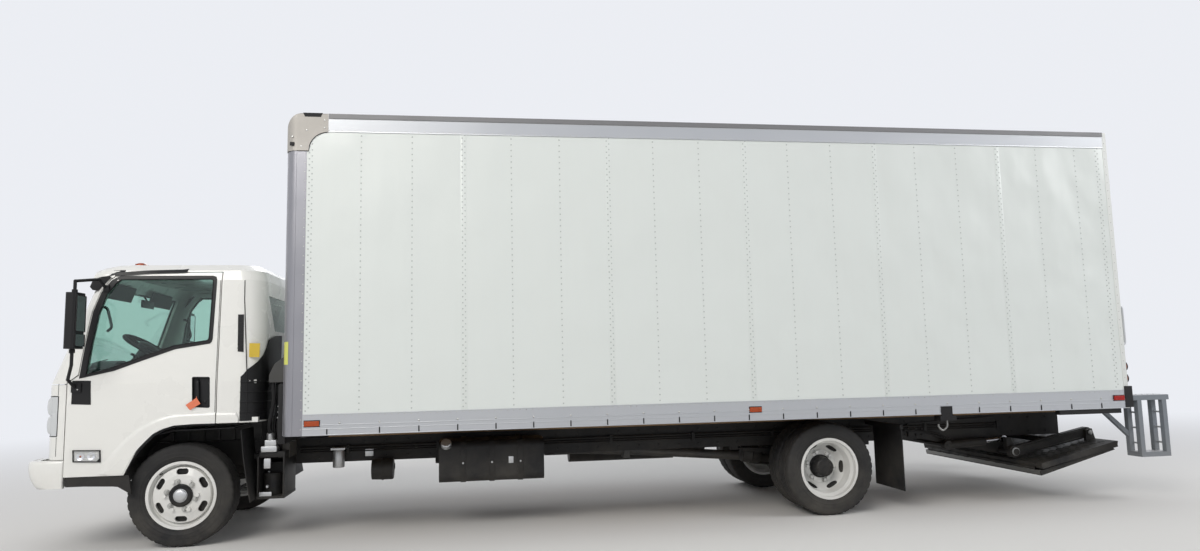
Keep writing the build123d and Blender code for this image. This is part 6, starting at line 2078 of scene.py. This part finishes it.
def gate_decks():
    treads = bmesh.new()
    top, low = -0.07, -0.144
    for k in range(19):
        u = 0.02 + k * 0.041
        for j in range(12):
            y = -0.955 + 0.16 * j + (0.04 if k % 2 else 0)
            if abs(y + 0.045) < 0.9:
                deck_strip(treads, u, u + 0.008, y, y + 0.085, top - 0.001, top + 0.0035)
                deck_strip(treads, u, u + 0.008, y, y + 0.085, low + 0.001, low - 0.0035, 0.036 / 0.8)
    keep("platform_treads", treads, platform_steel, "platform")
    rims = bmesh.new()
    for sign in (-1, 1):
        deck_strip(rims, -0.02, 0.8, sign * 0.9845 - 0.008, sign * 0.9845 + 0.008, -0.118, -0.0655)
        for u in (0.12, 0.4, 0.68):
            deck_strip(rims, u, u + 0.03, *sorted((sign * 0.975, sign * 0.989)), -0.11, -0.078)
        for k in range(5):
            y = sign * (0.18 + 0.17 * k)
            add_tube(rims, [on_deck(0.795, -0.121, y - 0.04), on_deck(0.795, -0.121, y + 0.04)], 0.0215, 12)
    keep("platform_rims", rims, underbody_black_and_shade, "platform")
    worn = bmesh.new()
    deck_strip(worn, 0.796, 0.812, -0.955, 0.955, -0.172, -0.132)
    for sign in (-1, 1):
        add_lathe(worn, [(0, 0), (0.02, 0), (0.022, 0.004), (0.022, 0.01), (0.012, 0.014), (0, 0.014)],
                  on_deck(0, 0, sign * 0.702), (0, sign, 0), 20)
    keep("platform_worn_edge", worn, metal_worn, "platform")


def gate_arms():
    arms, pins = bmesh.new(), bmesh.new()
    along = (gate_hinge - gate_pivot).normalized()
    up = Vector((0, 1, 0)).cross(along)
    for sign in (-1, 1):
        side_face = Vector((0, sign * 0.6705, 0))
        for lift in (-0.034, 0.034):
            add_tube(arms, [gate_pivot + along * s + up * lift + side_face for s in (0.1, 0.72)], 0.006, 6)
        for spot, r in ((gate_pivot, 0.04), (gate_hinge, 0.032)):
            add_lathe(pins, [(0, 0), (r * 0.8, 0), (r, 0.004), (r, 0.012), (r * 0.7, 0.016), (0, 0.016)],
                      spot + side_face, (0, sign, 0), 24)
    keep("gate_arm_welds", arms, underbody_black_and_shade, "lift_arms")
    keep("gate_arm_pins", pins, metal_worn, "lift_arms")


def gate_supply():
    """Hose pairs to the two cylinders, the pump box and its lid on the mount."""
    dark = bmesh.new()
    for sign in (-1, 1):
        for k in range(2):
            add_tube(dark, rounded([(-6.86 - 0.05 * k, sign * 0.5, 0.545),
                                    (-6.74, sign * 0.46, 0.6 + 0.02 * k), (-6.6, sign * 0.45, 0.64),
                                    (-6.4, sign * 0.44, 0.65 + 0.02 * k)], 0.04), 0.009, 8)
        for z in (0.6, 0.66):
            for x in (-6.56, -6.62):
                add_head(dark, (x, sign * 0.445, z), (0, sign, 0), 0.014, 0.012, 6, 0.85)
    add_box(dark, (-6.445, 1.14, 0.805), (-6.385, 1.2, 0.838), 0.004)
    keep("gate_hoses_and_bolts", dark, rubber_black, "chassis")
    hook = bmesh.new()
    add_tube(hook, rounded([(-6.46, 1.15, 0.792), (-6.46, 1.15, 0.735), (-6.415, 1.15, 0.7),
                            (-6.375, 1.15, 0.735), (-6.375, 1.15, 0.76)], 0.02), 0.009, 8)
    keep("gate_latch_hook", hook, metal_worn, "chassis")


platform_steel = finish("platform_steel", (0.045, 0.055, 0.05), 0.42, metal=0.5, grain=200, bump=0.3,
                        dust=0.3, reach=1)
metal_worn = finish("worn_steel", (0.3, 0.3, 0.29), 0.4, metal=0.9, brush=180, bump=0.3)
gate_decks()
gate_arms()
gate_supply()
print("liftgate dressed")
